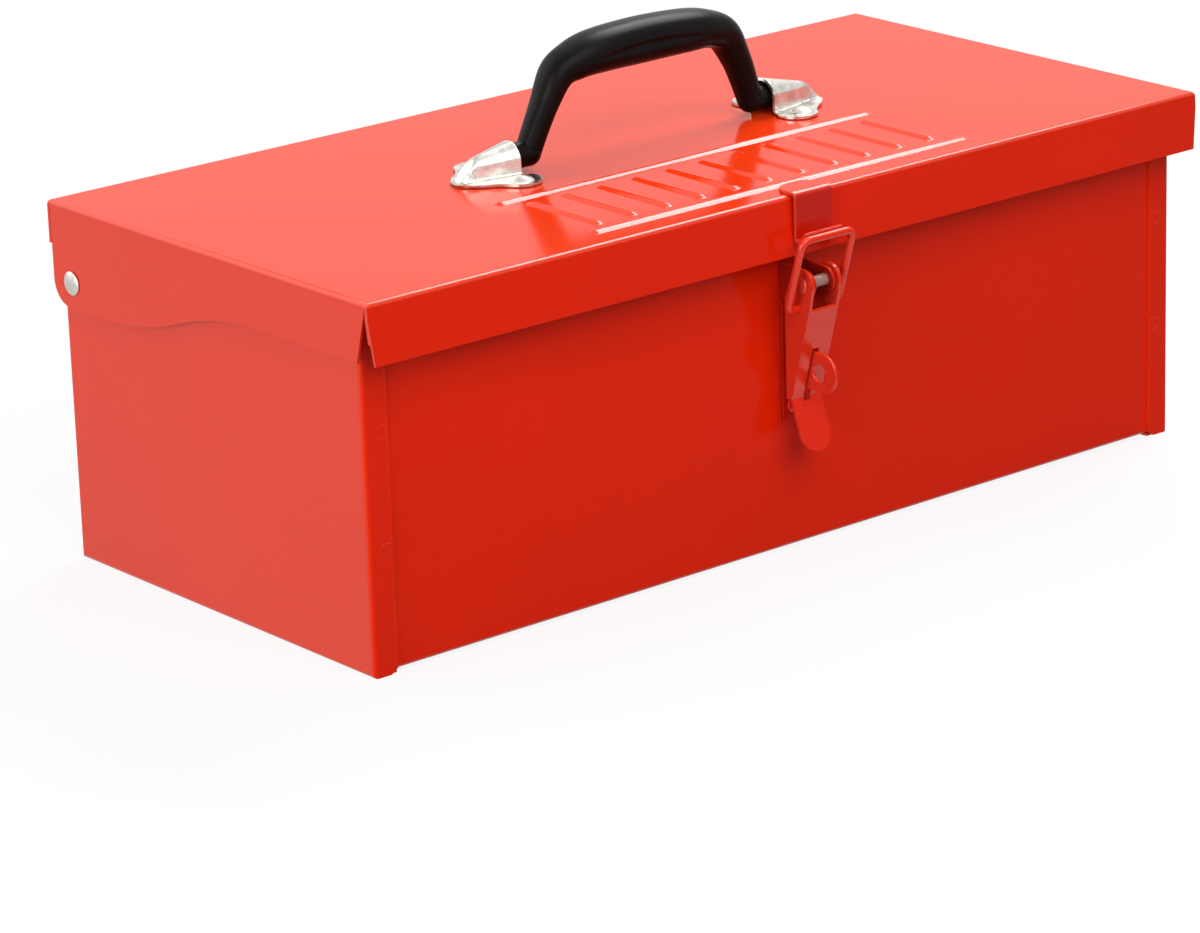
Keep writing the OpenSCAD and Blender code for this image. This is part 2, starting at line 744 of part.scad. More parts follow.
module latch_loop() {
    reach = bar - foot;
    height = norm(reach);
    half = loop_width / 2;
    color([0.85, 0.20, 0.14]) translate([0, pin_y + foot.x, pin_z + foot.y])
        rotate([atan2(-reach.x, reach.y), 0, 0]) {
            translate([0, 0, height]) rod(loop_corner - half, half - loop_corner, wire_d);
            for (side = [-1, 1]) at_side(side) {
                translate([half - loop_corner, 0, height - loop_corner]) wire_corner(loop_corner);
                translate([half, 0, foot_corner])
                    cylinder(h = height - loop_corner - foot_corner, d = wire_d);
                translate([half - foot_corner, 0, foot_corner])
                    mirror([0, 0, 1]) wire_corner(foot_corner);
                rod(foot_end, half - foot_corner, wire_d);
            }
        }
}

module padlock_staple() {
    half = latch_sheet / 2;
    color([0.80, 0.16, 0.10]) {
        difference() {
            along_x(-half, half)
                belt([[base_face, staple_z - staple_root, 0], [base_face, staple_z + staple_root, 0],
                    [staple_nose.x, staple_nose.y, staple_r]]);
            translate([0, eye_centre.x, eye_centre.y]) rod(-over - half, over + half, eye_d);
        }
        translate([-half, base_face - latch_sheet, staple_z - staple_foot[1] / 2])
            cube([staple_foot[0] + half, latch_sheet, staple_foot[1]]);
    }
}

// ---- Assembly ----

body_trough();
end_panel(-1);  // end_panel_left
end_panel(1);  // end_panel_right
lid();
lid_rivet(-1);  // lid_rivet_left
lid_rivet(1);  // lid_rivet_right
lid_washer(-1);  // lid_washer_left
lid_washer(1);  // lid_washer_right
handle_grip();
handle_bracket(-1);  // handle_bracket_left
handle_bracket(1);  // handle_bracket_right
handle_rivets(-1);  // handle_rivets_left
handle_rivets(1);  // handle_rivets_right
latch_keeper();
latch_base();
latch_rivets();
latch_pin();
latch_lever();
latch_loop();
padlock_staple();
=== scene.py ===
"""Looks of a flat-lidded steel tool box: enamel, plated brackets, moulded handle and studio.

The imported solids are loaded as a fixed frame. Each sub-assembly is a class that dresses its own
nodes or builds finer pieces in their place, and every piece rides on the body that carries it.
"""
import logging
import math
from dataclasses import dataclass, field
from enum import Enum
from typing import Any, Callable, Sequence, TypeAlias

import bmesh
import bpy
from mathutils import Matrix, Vector


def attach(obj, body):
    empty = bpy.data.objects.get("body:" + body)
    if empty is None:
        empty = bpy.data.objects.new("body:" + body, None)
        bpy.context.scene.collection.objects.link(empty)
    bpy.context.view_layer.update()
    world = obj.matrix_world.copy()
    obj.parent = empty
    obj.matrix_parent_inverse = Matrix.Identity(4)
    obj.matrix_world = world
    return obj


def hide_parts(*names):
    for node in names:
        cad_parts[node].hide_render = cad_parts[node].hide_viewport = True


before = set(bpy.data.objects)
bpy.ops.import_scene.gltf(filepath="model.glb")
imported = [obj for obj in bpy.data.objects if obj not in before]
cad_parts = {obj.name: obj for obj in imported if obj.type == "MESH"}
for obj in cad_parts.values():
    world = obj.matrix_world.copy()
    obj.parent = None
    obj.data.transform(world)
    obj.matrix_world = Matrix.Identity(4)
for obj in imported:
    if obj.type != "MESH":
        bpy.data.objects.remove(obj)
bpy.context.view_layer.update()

log = logging.getLogger("tool_box")
MM = 0.001
# Distances under which points are merged
FINE, COARSE = 0.0005 * MM, 0.002 * MM
# Places of a colour Mix node's sockets
FACTOR, FIRST, SECOND, RESULT = 0, 6, 7, 2
Span: TypeAlias = tuple[float, float]
Point: TypeAlias = tuple[float, float, float]
Colour: TypeAlias = tuple[float, float, float]


def smooth_step(value: float, low: float, high: float) -> float:
    """Smooth rise from 0 at low to 1 at high."""
    t = min(max((value - low) / (high - low), 0.0), 1.0)
    return t * t * (3 - 2 * t)


# ---------------------------------------------------------------- node expressions


def operator(operation: str, swapped: bool = False) -> Callable[["Signal", Any], "Signal"]:
    """Makes the method that stands for one operator on two values.

    Args:
        operation: The Math node's operation.
        swapped: True where the signal is the second value, as in 1 - mask.

    Returns:
        The method.
    """
    def method(self: "Signal", other: Any) -> "Signal":
        """Adds the Math node on both values."""
        return self._math(operation, *((other, self) if swapped else (self, other)))
    return method


class Signal:
    """Wraps a node's socket so that number maths can be written as Python expressions."""

    def __init__(self, graph: "Tree", socket: Any) -> None:
        """Keeps the socket and the graph that it belongs to.

        Args:
            graph: The graph that new Math nodes go into.
            socket: The output socket that carries the value.
        """
        self.graph = graph
        self.socket = socket

    def _math(self, operation: str, *values: Any) -> "Signal":
        """Adds one Math node on the given values."""
        return self.graph.node("ShaderNodeMath", {"operation": operation}, dict(enumerate(values)))

    __add__ = __radd__ = operator("ADD")
    __sub__, __rsub__ = operator("SUBTRACT"), operator("SUBTRACT", swapped=True)
    __mul__ = __rmul__ = operator("MULTIPLY")
    __truediv__, __rtruediv__ = operator("DIVIDE"), operator("DIVIDE", swapped=True)
    __pow__ = operator("POWER")
    least, most = operator("MINIMUM"), operator("MAXIMUM")

    def __neg__(self) -> "Signal":
        """Opposite."""
        return self._math("MULTIPLY", self, -1.0)

    def size(self) -> "Signal":
        """Value without its sign."""
        return self._math("ABSOLUTE", self)

    def sign(self) -> "Signal":
        """1, 0 or -1 by the sign of the value."""
        return self._math("SIGN", self)

    def clamp(self) -> "Signal":
        """Value held between 0 and 1."""
        return self.most(0.0).least(1.0)

    def over(self, edge: float, soft: float) -> "Signal":
        """Rises from 0 to 1 across an edge.

        Args:
            edge: Value at the middle of the rise.
            soft: Half the width of the rise.

        Returns:
            The smoothed mask.
        """
        return self.graph.node(
            "ShaderNodeMapRange",
            {"interpolation_type": "SMOOTHSTEP"},
            {"Value": self, "From Min": edge - soft, "From Max": edge + soft},
        )


class Tree:
    """A node tree, with one method that makes every node."""

    tree: Any

    def node(self, kind: str, settings: dict[str, Any] | None = None,
             inputs: dict[Any, Any] | None = None, output: Any = 0) -> Signal:
        """Makes one node.

        Args:
            kind: The node's type.
            settings: Its own properties, and "stops" for a colour ramp.
            inputs: Values or signals by socket name or place.
            output: Name or place of the output to hand back.

        Returns:
            The chosen output.
        """
        made = self.tree.nodes.new(kind)
        for name, value in (settings or {}).items():
            if name == "stops":
                self._stops(made.color_ramp, value)
            else:
                setattr(made, name, value)
        for key, value in (inputs or {}).items():
            socket = self._socket(made.inputs, key)
            if isinstance(value, Signal):
                self.tree.links.new(value.socket, socket)
            else:
                socket.default_value = value
        return Signal(self, self._socket(made.outputs, output) if len(made.outputs) else None)

    @staticmethod
    def _socket(sockets: Any, key: Any) -> Any:
        """Finds a socket.

        Args:
            sockets: A node's inputs or outputs.
            key: The socket's place, or its name among those in use.

        Returns:
            The socket.
        """
        if isinstance(key, int):
            return sockets[key]
        return next(s for s in sockets if s.name == key and s.enabled)

    @staticmethod
    def _stops(ramp: Any, stops: Sequence[tuple[float, Colour]]) -> None:
        """Fills a colour ramp.

        Args:
            ramp: The ramp.
            stops: Place and colour of each stop.
        """
        while len(ramp.elements) < len(stops):
            ramp.elements.new(0.5)
        for element, (place, colour) in zip(ramp.elements, stops):
            element.position = place
            element.color = (*colour, 1.0)


class Graph(Tree):
    """Shader tree of one material or world."""

    def __init__(self, owner: Any) -> None:
        """Empties the owner's tree.

        Args:
            owner: A material or a world.
        """
        owner.use_nodes = True
        self.tree = owner.node_tree
        self.tree.nodes.clear()

    def rays(self) -> list[Signal]:
        """Whether a ray comes from the camera, from a gloss or through glass."""
        return [self.node("ShaderNodeLightPath", output=name)
                for name in ("Is Camera Ray", "Is Glossy Ray", "Is Transmission Ray")]

    def coordinates(self) -> Signal:
        """Object coordinates, in metres."""
        return self.node("ShaderNodeTexCoord", output="Object")

    def noise(self, size: float, detail: float = 2.0, roughness: float = 0.5,
              stretch: Point = (1.0, 1.0, 1.0)) -> Signal:
        """Noise whose blobs are about one size across.

        Args:
            size: Size of a blob in metres.
            detail: Octaves of finer noise.
            roughness: Strength of the finer octaves.
            stretch: Scale along each axis.

        Returns:
            A value round 0.5.
        """
        place = self.node("ShaderNodeMapping", {"vector_type": "POINT"},
                          {"Vector": self.coordinates(), "Scale": stretch})
        return self.node("ShaderNodeTexNoise", {},
                         {"Vector": place, "Scale": 1.0 / size, "Detail": detail,
                          "Roughness": roughness})

    def blend(self, factor: Any, first: Any, second: Any, how: str = "MIX") -> Signal:
        """Mixes two colours.

        Args:
            factor: Share of the second colour.
            first: First colour or signal.
            second: Second colour or signal.
            how: The blend type.

        Returns:
            The mixed colour.
        """
        def colour(value: Any) -> Any:
            """Adds alpha to a plain colour."""
            return value if isinstance(value, Signal) else (*value, 1.0)
        return self.node("ShaderNodeMix", {"data_type": "RGBA", "blend_type": how},
                         {FACTOR: factor, FIRST: colour(first), SECOND: colour(second)}, RESULT)

    def bump(self, height: Signal, distance: float, strength: float = 1.0,
             under: Signal | None = None) -> Signal:
        """Turns a height into a normal.

        Args:
            height: Height signal, 0 to 1.
            distance: Height of 1, in metres.
            strength: Share of the effect.
            under: Normal of a coarser bump below this one.

        Returns:
            The bent normal.
        """
        inputs: dict[Any, Any] = {"Height": height, "Distance": distance, "Strength": strength}
        if under is not None:
            inputs["Normal"] = under
        return self.node("ShaderNodeBump", {}, inputs)

    def surface(self, shader: Signal) -> None:
        """Sends a shader to the output."""
        self.node("ShaderNodeOutputMaterial", {}, {"Surface": shader})


class Form(Tree):
    """Geometry tree with named sizes that makes the shape of a piece."""

    def __init__(self, name: str, sizes: dict[str, Any]) -> None:
        """Starts the tree with one geometry input and one input for each size.

        Args:
            name: The tree's name.
            sizes: Size by name: a whole number, a number or a point.
        """
        self.tree = bpy.data.node_groups.new(name, "GeometryNodeTree")
        self.sizes = sizes
        face = self.tree.interface
        face.new_socket("Geometry", in_out="INPUT", socket_type="NodeSocketGeometry")
        for key, value in sizes.items():
            kind = {int: "Int", float: "Float", tuple: "Vector"}[type(value)]
            face.new_socket(key, in_out="INPUT", socket_type="NodeSocket" + kind)
        face.new_socket("Geometry", in_out="OUTPUT", socket_type="NodeSocketGeometry")
        self.inside = self.node("NodeGroupInput").socket.node

    def given(self, name: str) -> Signal:
        """The input of that name."""
        return Signal(self, self.inside.outputs[name])

    def vector(self, operation: str, *values: Any) -> Signal:
        """Adds one Vector Math node on the given vectors."""
        return self.node("ShaderNodeVectorMath", {"operation": operation}, dict(enumerate(values)))

    def scaled(self, vector: Signal, factor: Signal) -> Signal:
        """A vector times a number."""
        return self.node("ShaderNodeVectorMath", {"operation": "SCALE"},
                         {0: vector, "Scale": factor})

    def parts(self, vector: Signal) -> list[Signal]:
        """X, Y and Z of a vector."""
        split = self.node("ShaderNodeSeparateXYZ", {}, {0: vector}).socket.node
        return [Signal(self, out) for out in split.outputs]

    def joined(self, *values: Any) -> Signal:
        """A vector from its X, Y and Z."""
        return self.node("ShaderNodeCombineXYZ", {}, dict(enumerate(values)))

    def keep(self, shape: Signal, name: str, value: Signal) -> Signal:
        """Stores a vector on the points of a shape.

        Args:
            shape: The geometry.
            name: Name of the attribute.
            value: The vector.

        Returns:
            The geometry with the attribute.
        """
        return self.node("GeometryNodeStoreNamedAttribute",
                         {"data_type": "FLOAT_VECTOR", "domain": "POINT"},
                         {"Geometry": shape, "Name": name, "Value": value}, "Geometry")

    def read(self, name: str, kind: str = "FLOAT_VECTOR") -> Signal:
        """An attribute of the points by its name."""
        return self.node("GeometryNodeInputNamedAttribute", {"data_type": kind}, {"Name": name},
                         "Attribute")

    def make(self, name: str, seed: bpy.types.Mesh, shape: Signal,
             material: bpy.types.Material) -> bpy.types.Object:
        """Ends the tree and turns its result into a plain piece.

        Args:
            name: Name of the piece.
            seed: Mesh that goes into the tree.
            shape: The geometry that comes out.
            material: Its finish.

        Returns:
            The piece, with no modifier left.
        """
        real = self.node("GeometryNodeRealizeInstances", {}, {"Geometry": shape}, "Geometry")
        done = self.node("GeometryNodeSetMaterial", {}, {"Geometry": real, "Material": material},
                         "Geometry")
        self.node("NodeGroupOutput", {}, {0: done})
        piece = put(name, seed)
        modifier = piece.modifiers.new("shape", "NODES")
        modifier.node_group = self.tree
        for item in self.tree.interface.items_tree:
            if item.in_out == "INPUT" and item.name in self.sizes:
                modifier[item.identifier] = self.sizes[item.name]
        settle(piece)
        work = bmesh.new()
        work.from_mesh(piece.data)
        close(work, piece.data, FINE, True)
        piece.data.shade_smooth()
        return piece


# ---------------------------------------------------------------- finishes


@dataclass(frozen=True)
class Enamel:
    """Baked gloss enamel on sheet steel, with a faint orange peel and dust nibs.

    "deep" colours the faces marked calm, a darker painted shade on the walls; the colour given for
    faces that look up is painted light, lighter than the rest; "flank" colours those that look to
    the ends, a painted side shade where it differs from the main colour. "bare" is the metal that
    shows where the paint is rubbed off.
    """

    name: str
    colour: Colour
    deep: Colour
    painted_top_light: Colour
    flank: Colour
    roughness: float = 0.13
    peel: float = 0.9 * MM
    peel_depth: float = 0.0016 * MM
    nibs: float = 0.010 * MM
    nib_pitch: float = 9 * MM
    cloud: float = 70 * MM
    fleck: float = 4 * MM
    wave: float = 30 * MM
    wave_depth: float = 0.03 * MM
    gloss: float = 1.42
    calm: float = 1.14
    rubbed: float = 0.0
    bare: Colour = (0.40, 0.23, 0.18)

    def material(self) -> bpy.types.Material:
        """Builds the material.

        Returns:
            The material.
        """
        made = bpy.data.materials.new(self.name)
        g = Graph(made)
        cloud, fine = (g.noise(size, 3.0) for size in (self.cloud, self.fleck))
        share, top, end = (g.node("ShaderNodeAttribute", {"attribute_name": name}, {}, "Fac")
                           for name in ("calm", "painted_top_light", "flank"))
        # Painted shade: calm faces take the darker deep colour, faces that look to the ends the
        # flank colour.
        paint = g.blend(end, g.blend(share, self.colour, self.deep), self.flank)
        # Painted light: faces that look up take the lighter top colour.
        paint = g.blend(top, paint, self.painted_top_light)
        if self.rubbed:
            along = g.node("ShaderNodeSeparateXYZ", {}, {"Vector": g.coordinates()}, "X")
            paint = g.blend(1.0 - along.size().over(self.rubbed, 0.4 * MM), paint, self.bare)
        mottle = (cloud * 0.7 + fine * 0.3).over(0.5, 0.25)
        tint = g.blend(1.0, paint, g.blend(mottle, (0.95,) * 3, (1.0,) * 3), "MULTIPLY")
        peel = g.noise(self.peel, 1.0)
        wave = g.noise(self.wave, 1.0)
        cells = {"Vector": g.coordinates(), "Scale": 1 / self.nib_pitch, "Randomness": 1.0}
        wall, dot = (g.node("ShaderNodeTexVoronoi", {"feature": feature}, cells, "Distance")
                     for feature in ("DISTANCE_TO_EDGE", "F1"))
        speck = (1.0 - dot.over(0.035, 0.02)) * wall.over(0.2, 0.1)
        skin = g.bump(peel, self.peel_depth, 1.0, g.bump(wave, self.wave_depth, 0.5))
        normal = g.bump(speck, self.nibs, 1.0, skin)
        rough = ((fine - 0.5) * 0.05 + self.roughness + speck * 0.1).clamp()
        bright, quiet = (g.node("ShaderNodeBsdfPrincipled", {}, {
            "Base Color": tint, "Roughness": rough, "IOR": ior, "Normal": normal})
            for ior in (self.gloss, self.calm))
        g.surface(g.node("ShaderNodeMixShader", {}, {0: share, 1: bright, 2: quiet}))
        return made


@dataclass(frozen=True)
class Plating:
    """Bright or dull plated steel with drawing lines and handling marks."""

    name: str
    colour: Colour
    roughness: float
    streak: Point = (1.0, 1.0, 1.0)
    dent: float = 0.02 * MM
    shade: float = 0.82

    def material(self) -> bpy.types.Material:
        """Builds the material.

        Returns:
            The material.
        """
        made = bpy.data.materials.new(self.name)
        g = Graph(made)
        lines = g.noise(0.5 * MM, 3.0, 0.6, self.streak)
        blotch = g.noise(6 * MM, 4.0, 0.6)
        dark = tuple(c * self.shade for c in self.colour)
        tint = g.blend((blotch * 0.7 + lines * 0.3).over(0.5, 0.2), dark, self.colour)
        rough = blotch.over(0.55, 0.2) * 0.08 + lines * 0.05 + self.roughness
        normal = g.bump(lines, 0.003 * MM, 1.0, g.bump(blotch, self.dent, 1.0))
        g.surface(g.node("ShaderNodeBsdfPrincipled", {}, {
            "Base Color": tint, "Metallic": 1.0, "Roughness": rough.clamp(), "Normal": normal}))
        return made


@dataclass(frozen=True)
class Moulding:
    """Dark moulded plastic with a very fine grain, shiny where hands rub it."""

    name: str
    colour: Colour
    roughness: float = 0.30
    ior: float = 1.17

    def material(self) -> bpy.types.Material:
        """Builds the material.

        Returns:
            The material.
        """
        made = bpy.data.materials.new(self.name)
        g = Graph(made)
        grain = g.noise(0.35 * MM, 2.0, 0.6)
        blotch = g.noise(14 * MM, 3.0)
        light = tuple(min(1.0, c * 1.4 + 0.001) for c in self.colour)
        tint = g.blend(blotch.over(0.5, 0.25), self.colour, light)
        rough = (blotch - 0.5) * 0.12 + grain * 0.06 + self.roughness
        normal = g.bump(grain, 0.006 * MM, 1.0, g.bump(blotch, 0.05 * MM, 0.6))
        g.surface(g.node("ShaderNodeBsdfPrincipled", {}, {
            "Base Color": tint, "Roughness": rough.clamp(), "IOR": self.ior, "Normal": normal}))
        return made


class Finish(Enum):
    """Finishes of the tool box."""

    # Painted light and shade: deep is a darker painted shade for the walls and the next colour a
    # lighter painted light for the tops; the last, for faces that look to the ends, is the main
    # colour.
    ENAMEL = Enamel("red_enamel", (0.83, 0.036, 0.004), (0.82, 0.019, 0.002),
                    (0.93, 0.048, 0.006), (0.83, 0.036, 0.004))
    # Painted light and shade as on the body, with a darker, paler painted side shade on the side
    # faces.
    LATCH = Enamel("latch_enamel", (0.84, 0.026, 0.004), (0.82, 0.019, 0.003),
                   (0.92, 0.050, 0.006), (0.65, 0.032, 0.013), roughness=0.27, peel=0.6 * MM,
                   gloss=1.5)
    # Darker than the body's enamel all over: painted shade; its top colour is painted light and its
    # paler side colour a painted sheen.
    KEEPER = Enamel("keeper_enamel_painted_shade", (0.62, 0.015, 0.003), (0.54, 0.009, 0.002),
                    (0.93, 0.048, 0.006), (0.62, 0.042, 0.022), roughness=0.18, peel=0.6 * MM)
    # Darker than the body's enamel all over: painted shade, with a much darker painted side shade
    # and a lighter painted light on its top.
    BASE = Enamel("base_enamel_painted_shade", (0.64, 0.016, 0.003), (0.66, 0.013, 0.002), (0.80, 0.040, 0.006),
                  (0.36, 0.010, 0.004), roughness=0.25, peel=0.6 * MM, gloss=1.25)
    # Painted light and shade as on the latch; the bare middle is wear.
    PIN = Enamel("pin_enamel", (0.84, 0.026, 0.004), (0.82, 0.019, 0.003), (0.92, 0.050, 0.006),
                 (0.62, 0.042, 0.022), roughness=0.22, peel=0.6 * MM, gloss=1.5, rubbed=5.0 * MM)
    NICKEL = Plating("bright_nickel", (0.80, 0.77, 0.71), 0.20, (0.15, 1.0, 1.0), shade=0.6)
    RIVET = Plating("rivet_steel", (0.66, 0.63, 0.58), 0.30)
    ZINC = Plating("washer_zinc", (0.62, 0.62, 0.63), 0.35)
    HANDLE = Moulding("handle_black", (0.003, 0.0022, 0.002))


class Finishes:
    """Makes each finish once and hands it out."""

    def __init__(self) -> None:
        """Starts with nothing made."""
        self._made: dict[Finish, bpy.types.Material] = {}

    def get(self, finish: Finish) -> bpy.types.Material:
        """Hands out a material, made at its first use.

        Args:
            finish: The finish.

        Returns:
            Its material.
        """
        if finish not in self._made:
            self._made[finish] = finish.value.material()
        return self._made[finish]


# ---------------------------------------------------------------- pieces


def put(name: str, mesh: bpy.types.Mesh) -> bpy.types.Object:
    """Links a mesh to the scene as an object at the origin.

    Args:
        name: The piece's name.
        mesh: Its mesh, in the row frame.

    Returns:
        The new object.
    """
    made = bpy.data.objects.new(name, mesh)
    bpy.context.scene.collection.objects.link(made)
    return made


def settle(piece: bpy.types.Object) -> bpy.types.Object:
    """Applies a piece's modifiers to its mesh.

    Args:
        piece: The object with live modifiers.

    Returns:
        The same object, with a plain mesh.
    """
    depsgraph = bpy.context.evaluated_depsgraph_get()
    mesh = bpy.data.meshes.new_from_object(piece.evaluated_get(depsgraph))
    piece.modifiers.clear()
    old, piece.data = piece.data, mesh
    bpy.data.meshes.remove(old)
    return piece


def close(work: bmesh.types.BMesh, mesh: bpy.types.Mesh, gap: float,
          outward: bool = False) -> bpy.types.Mesh:
    """Merges doubled points and writes the work to a mesh.

    Args:
        work: The work, which is freed.
        mesh: The mesh that takes it.
        gap: Distance under which points are merged.
        outward: True turns every face outwards.

    Returns:
        The same mesh.
    """
    bmesh.ops.remove_doubles(work, verts=work.verts, dist=gap)
    if outward:
        bmesh.ops.recalc_face_normals(work, faces=work.faces)
    work.to_mesh(mesh)
    work.free()
    return mesh


class Winding(Enum):
    """Order in which a face takes its corners, which sets its side and its diagonal."""

    FORWARD = (0, 1, 2, 3)
    REVERSED = (3, 2, 1, 0)
    SIDEWAYS = (0, 3, 2, 1)


def shell(name: str, rows: Sequence[Sequence[Point]], ring: bool = True,
          winding: Winding = Winding.FORWARD, gap: float = FINE,
          outward: bool = False) -> bpy.types.Mesh:
    """Mesh of four-sided faces between rows of points.

    Args:
        name: Name of the mesh.
        rows: Rows of as many points each, in metres.
        ring: True where the end of a row joins its start.
        winding: Order of each face's corners.
        gap: Distance under which points are merged.
        outward: True turns every face outwards in the end.

    Returns:
        The mesh.
    """
    work = bmesh.new()
    lines = [[work.verts.new(point) for point in row] for row in rows]
    for first, second in zip(lines, lines[1:]):
        for j in range(len(first) if ring else len(first) - 1):
            k = (j + 1) % len(first)
            quad = (first[j], first[k], second[k], second[j])
            work.faces.new([quad[corner] for corner in winding.value])
    return close(work, bpy.data.meshes.new(name), gap, outward)


def turned(name: str, profile: Sequence[Span], sides: int) -> bpy.types.Mesh:
    """Mesh turned about Z like work in a lathe.

    Args:
        name: Name of the mesh.
        profile: Radius and height in millimetres, from one end of the axis to the other.
        sides: Steps round the axis.

    Returns:
        The mesh.
    """
    angles = [2 * math.pi * j / sides for j in range(sides)]
    return shell(name, [[(r * MM * math.cos(a), r * MM * math.sin(a), z * MM) for a in angles]
                        for r, z in profile], outward=True)


@dataclass
class Dresser:
    """Gives pieces their finish and body.

    The spans from "wall" to "latch_under" say between which shares of a face's normal a look
    comes in: the calm spans give a darker painted shade with less gloss, "upward" a lighter painted
    light on tops and "endward" a painted side shade. "quiet" is the most that a top or the latch
    gives up of its gloss. "sharp" and "flatness" are in degrees: edges over the first are rounded,
    under the second taken out.
    """

    finishes: Finishes
    wall: Span = (0.93, 0.99)
    fold: Span = (0.35, 0.92)
    upright: Span = (0.3, 0.1)
    level: Span = (0.95, 0.995)
    upward: Span = (0.6, 0.95)
    endward: Span = (0.7, 0.95)
    latch_front: Span = (0.80, 0.90)
    latch_under: Span = (-0.2, -0.1)
    quiet: float = 0.75
    sharp: float = 34.0
    flatness: float = 0.6

    def carry(self, piece: bpy.types.Object, body: str, slot: str, *nodes: str) -> None:
        """Rides a piece on its body in place of its solids.

        Args:
            piece: The finished piece.
            body: The body that carries it.
            slot: The record's material slot; not used.
            nodes: The solids that it stands for.
        """
        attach(piece, body)
        if nodes:
            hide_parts(*nodes)
        log.info("%s: %d faces on %s", piece.name, len(piece.data.polygons), body)

    def soften(self, node: str, body: str, slot: str, finish: Finish, edge: float,
               segments: int = 2) -> bpy.types.Object:
        """Makes a copy of a solid whose sharp edges are rounded as real sheet edges are.

        Args:
            node: The solid.
            body: The body that carries it.
            slot: The record's material slot.
            finish: The finish.
            edge: Width of the rounding in metres.
            segments: Steps across the rounding.

        Returns:
            The new piece.
        """
        work = bmesh.new()
        work.from_mesh(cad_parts[node].data)
        bmesh.ops.remove_doubles(work, verts=work.verts, dist=COARSE)
        bmesh.ops.dissolve_limit(work, angle_limit=math.radians(self.flatness), verts=work.verts,
                                 edges=work.edges, delimit=set())
        mesh = bpy.data.meshes.new(node + "_soft")
        work.to_mesh(mesh)
        work.free()
        mesh.materials.append(self.finishes.get(finish))
        mesh.shade_smooth()
        piece = put(node + "_skin", mesh)
        bevel = piece.modifiers.new("edges", "BEVEL")
        bevel.limit_method, bevel.angle_limit = "ANGLE", math.radians(self.sharp)
        bevel.width, bevel.segments = edge, segments
        bevel.use_clamp_overlap = True
        bevel.harden_normals = False
        normals = piece.modifiers.new("normals", "WEIGHTED_NORMAL")
        normals.keep_sharp, normals.weight = False, 90
        settle(piece)
        self.mark(piece.data, node.startswith(("latch", "padlock")))
        self.carry(piece, body, slot, node)
        return piece

    def mark(self, mesh: bpy.types.Mesh, small: bool = False) -> None:
        """Marks each face by how it looks at rest, for its gloss and its painted light and shade.

        Args:
            mesh: Mesh that gets "calm", for faces that take less gloss and a darker painted shade,
                a mark for faces that look up, which take a lighter painted light, and "flank", for
                faces that look to the ends, which take a painted side shade.
            small: True for the latch, whose faces that lean down keep their gloss.
        """
        values = []
        for corner in mesh.corner_normals:
            x, y, z = corner.vector
            stand = smooth_step(abs(z), *self.upright)
            low, high = (w + (f - w) * stand for w, f in zip(self.wall, self.fold))
            plain = smooth_step(abs(y), low, high)
            if small:
                front = smooth_step(-y, *self.latch_front)
                plain = self.quiet * front * smooth_step(z, *self.latch_under)
            flat = self.quiet * smooth_step(z, *self.level)
            # Painted light and shade: these marks pick the lighter top colour, the side shade and
            # the darker wall shade.
            values.append((max(plain, flat), smooth_step(z, *self.upward),
                           smooth_step(abs(x), *self.endward)))
        for name, column in zip(("calm", "painted_top_light", "flank"), zip(*values)):
            mesh.attributes.new(name, "FLOAT", "CORNER").data.foreach_set("value", column)


@dataclass
class Row:
    """Copies of one small form set out along a line."""

    dresser: Dresser
    name: str
    count: int
    start: Point
    step: Point
    turn: Point = (0.0, 0.0, 0.0)

    def build(self, seed: bpy.types.Mesh, finish: Finish) -> bpy.types.Object:
        """Sets the copies out.

        Args:
            seed: The form, standing on the origin along Z.
            finish: Its finish.

        Returns:
            The piece that holds every copy.
        """
        form = Form(self.name + "_row", {
            "Count": self.count, "Start": self.start, "Step": self.step, "Turn": self.turn})
        line = form.node("GeometryNodeMeshLine", {"mode": "OFFSET"}, {
            "Count": form.given("Count"), "Start Location": form.given("Start"),
            "Offset": form.given("Step")}, "Mesh")
        copies = form.node("GeometryNodeInstanceOnPoints", {}, {
            "Points": line, "Instance": form.given("Geometry"),
            "Rotation": form.given("Turn")}, "Instances")
        return form.make(self.name, seed, copies, self.dresser.finishes.get(finish))


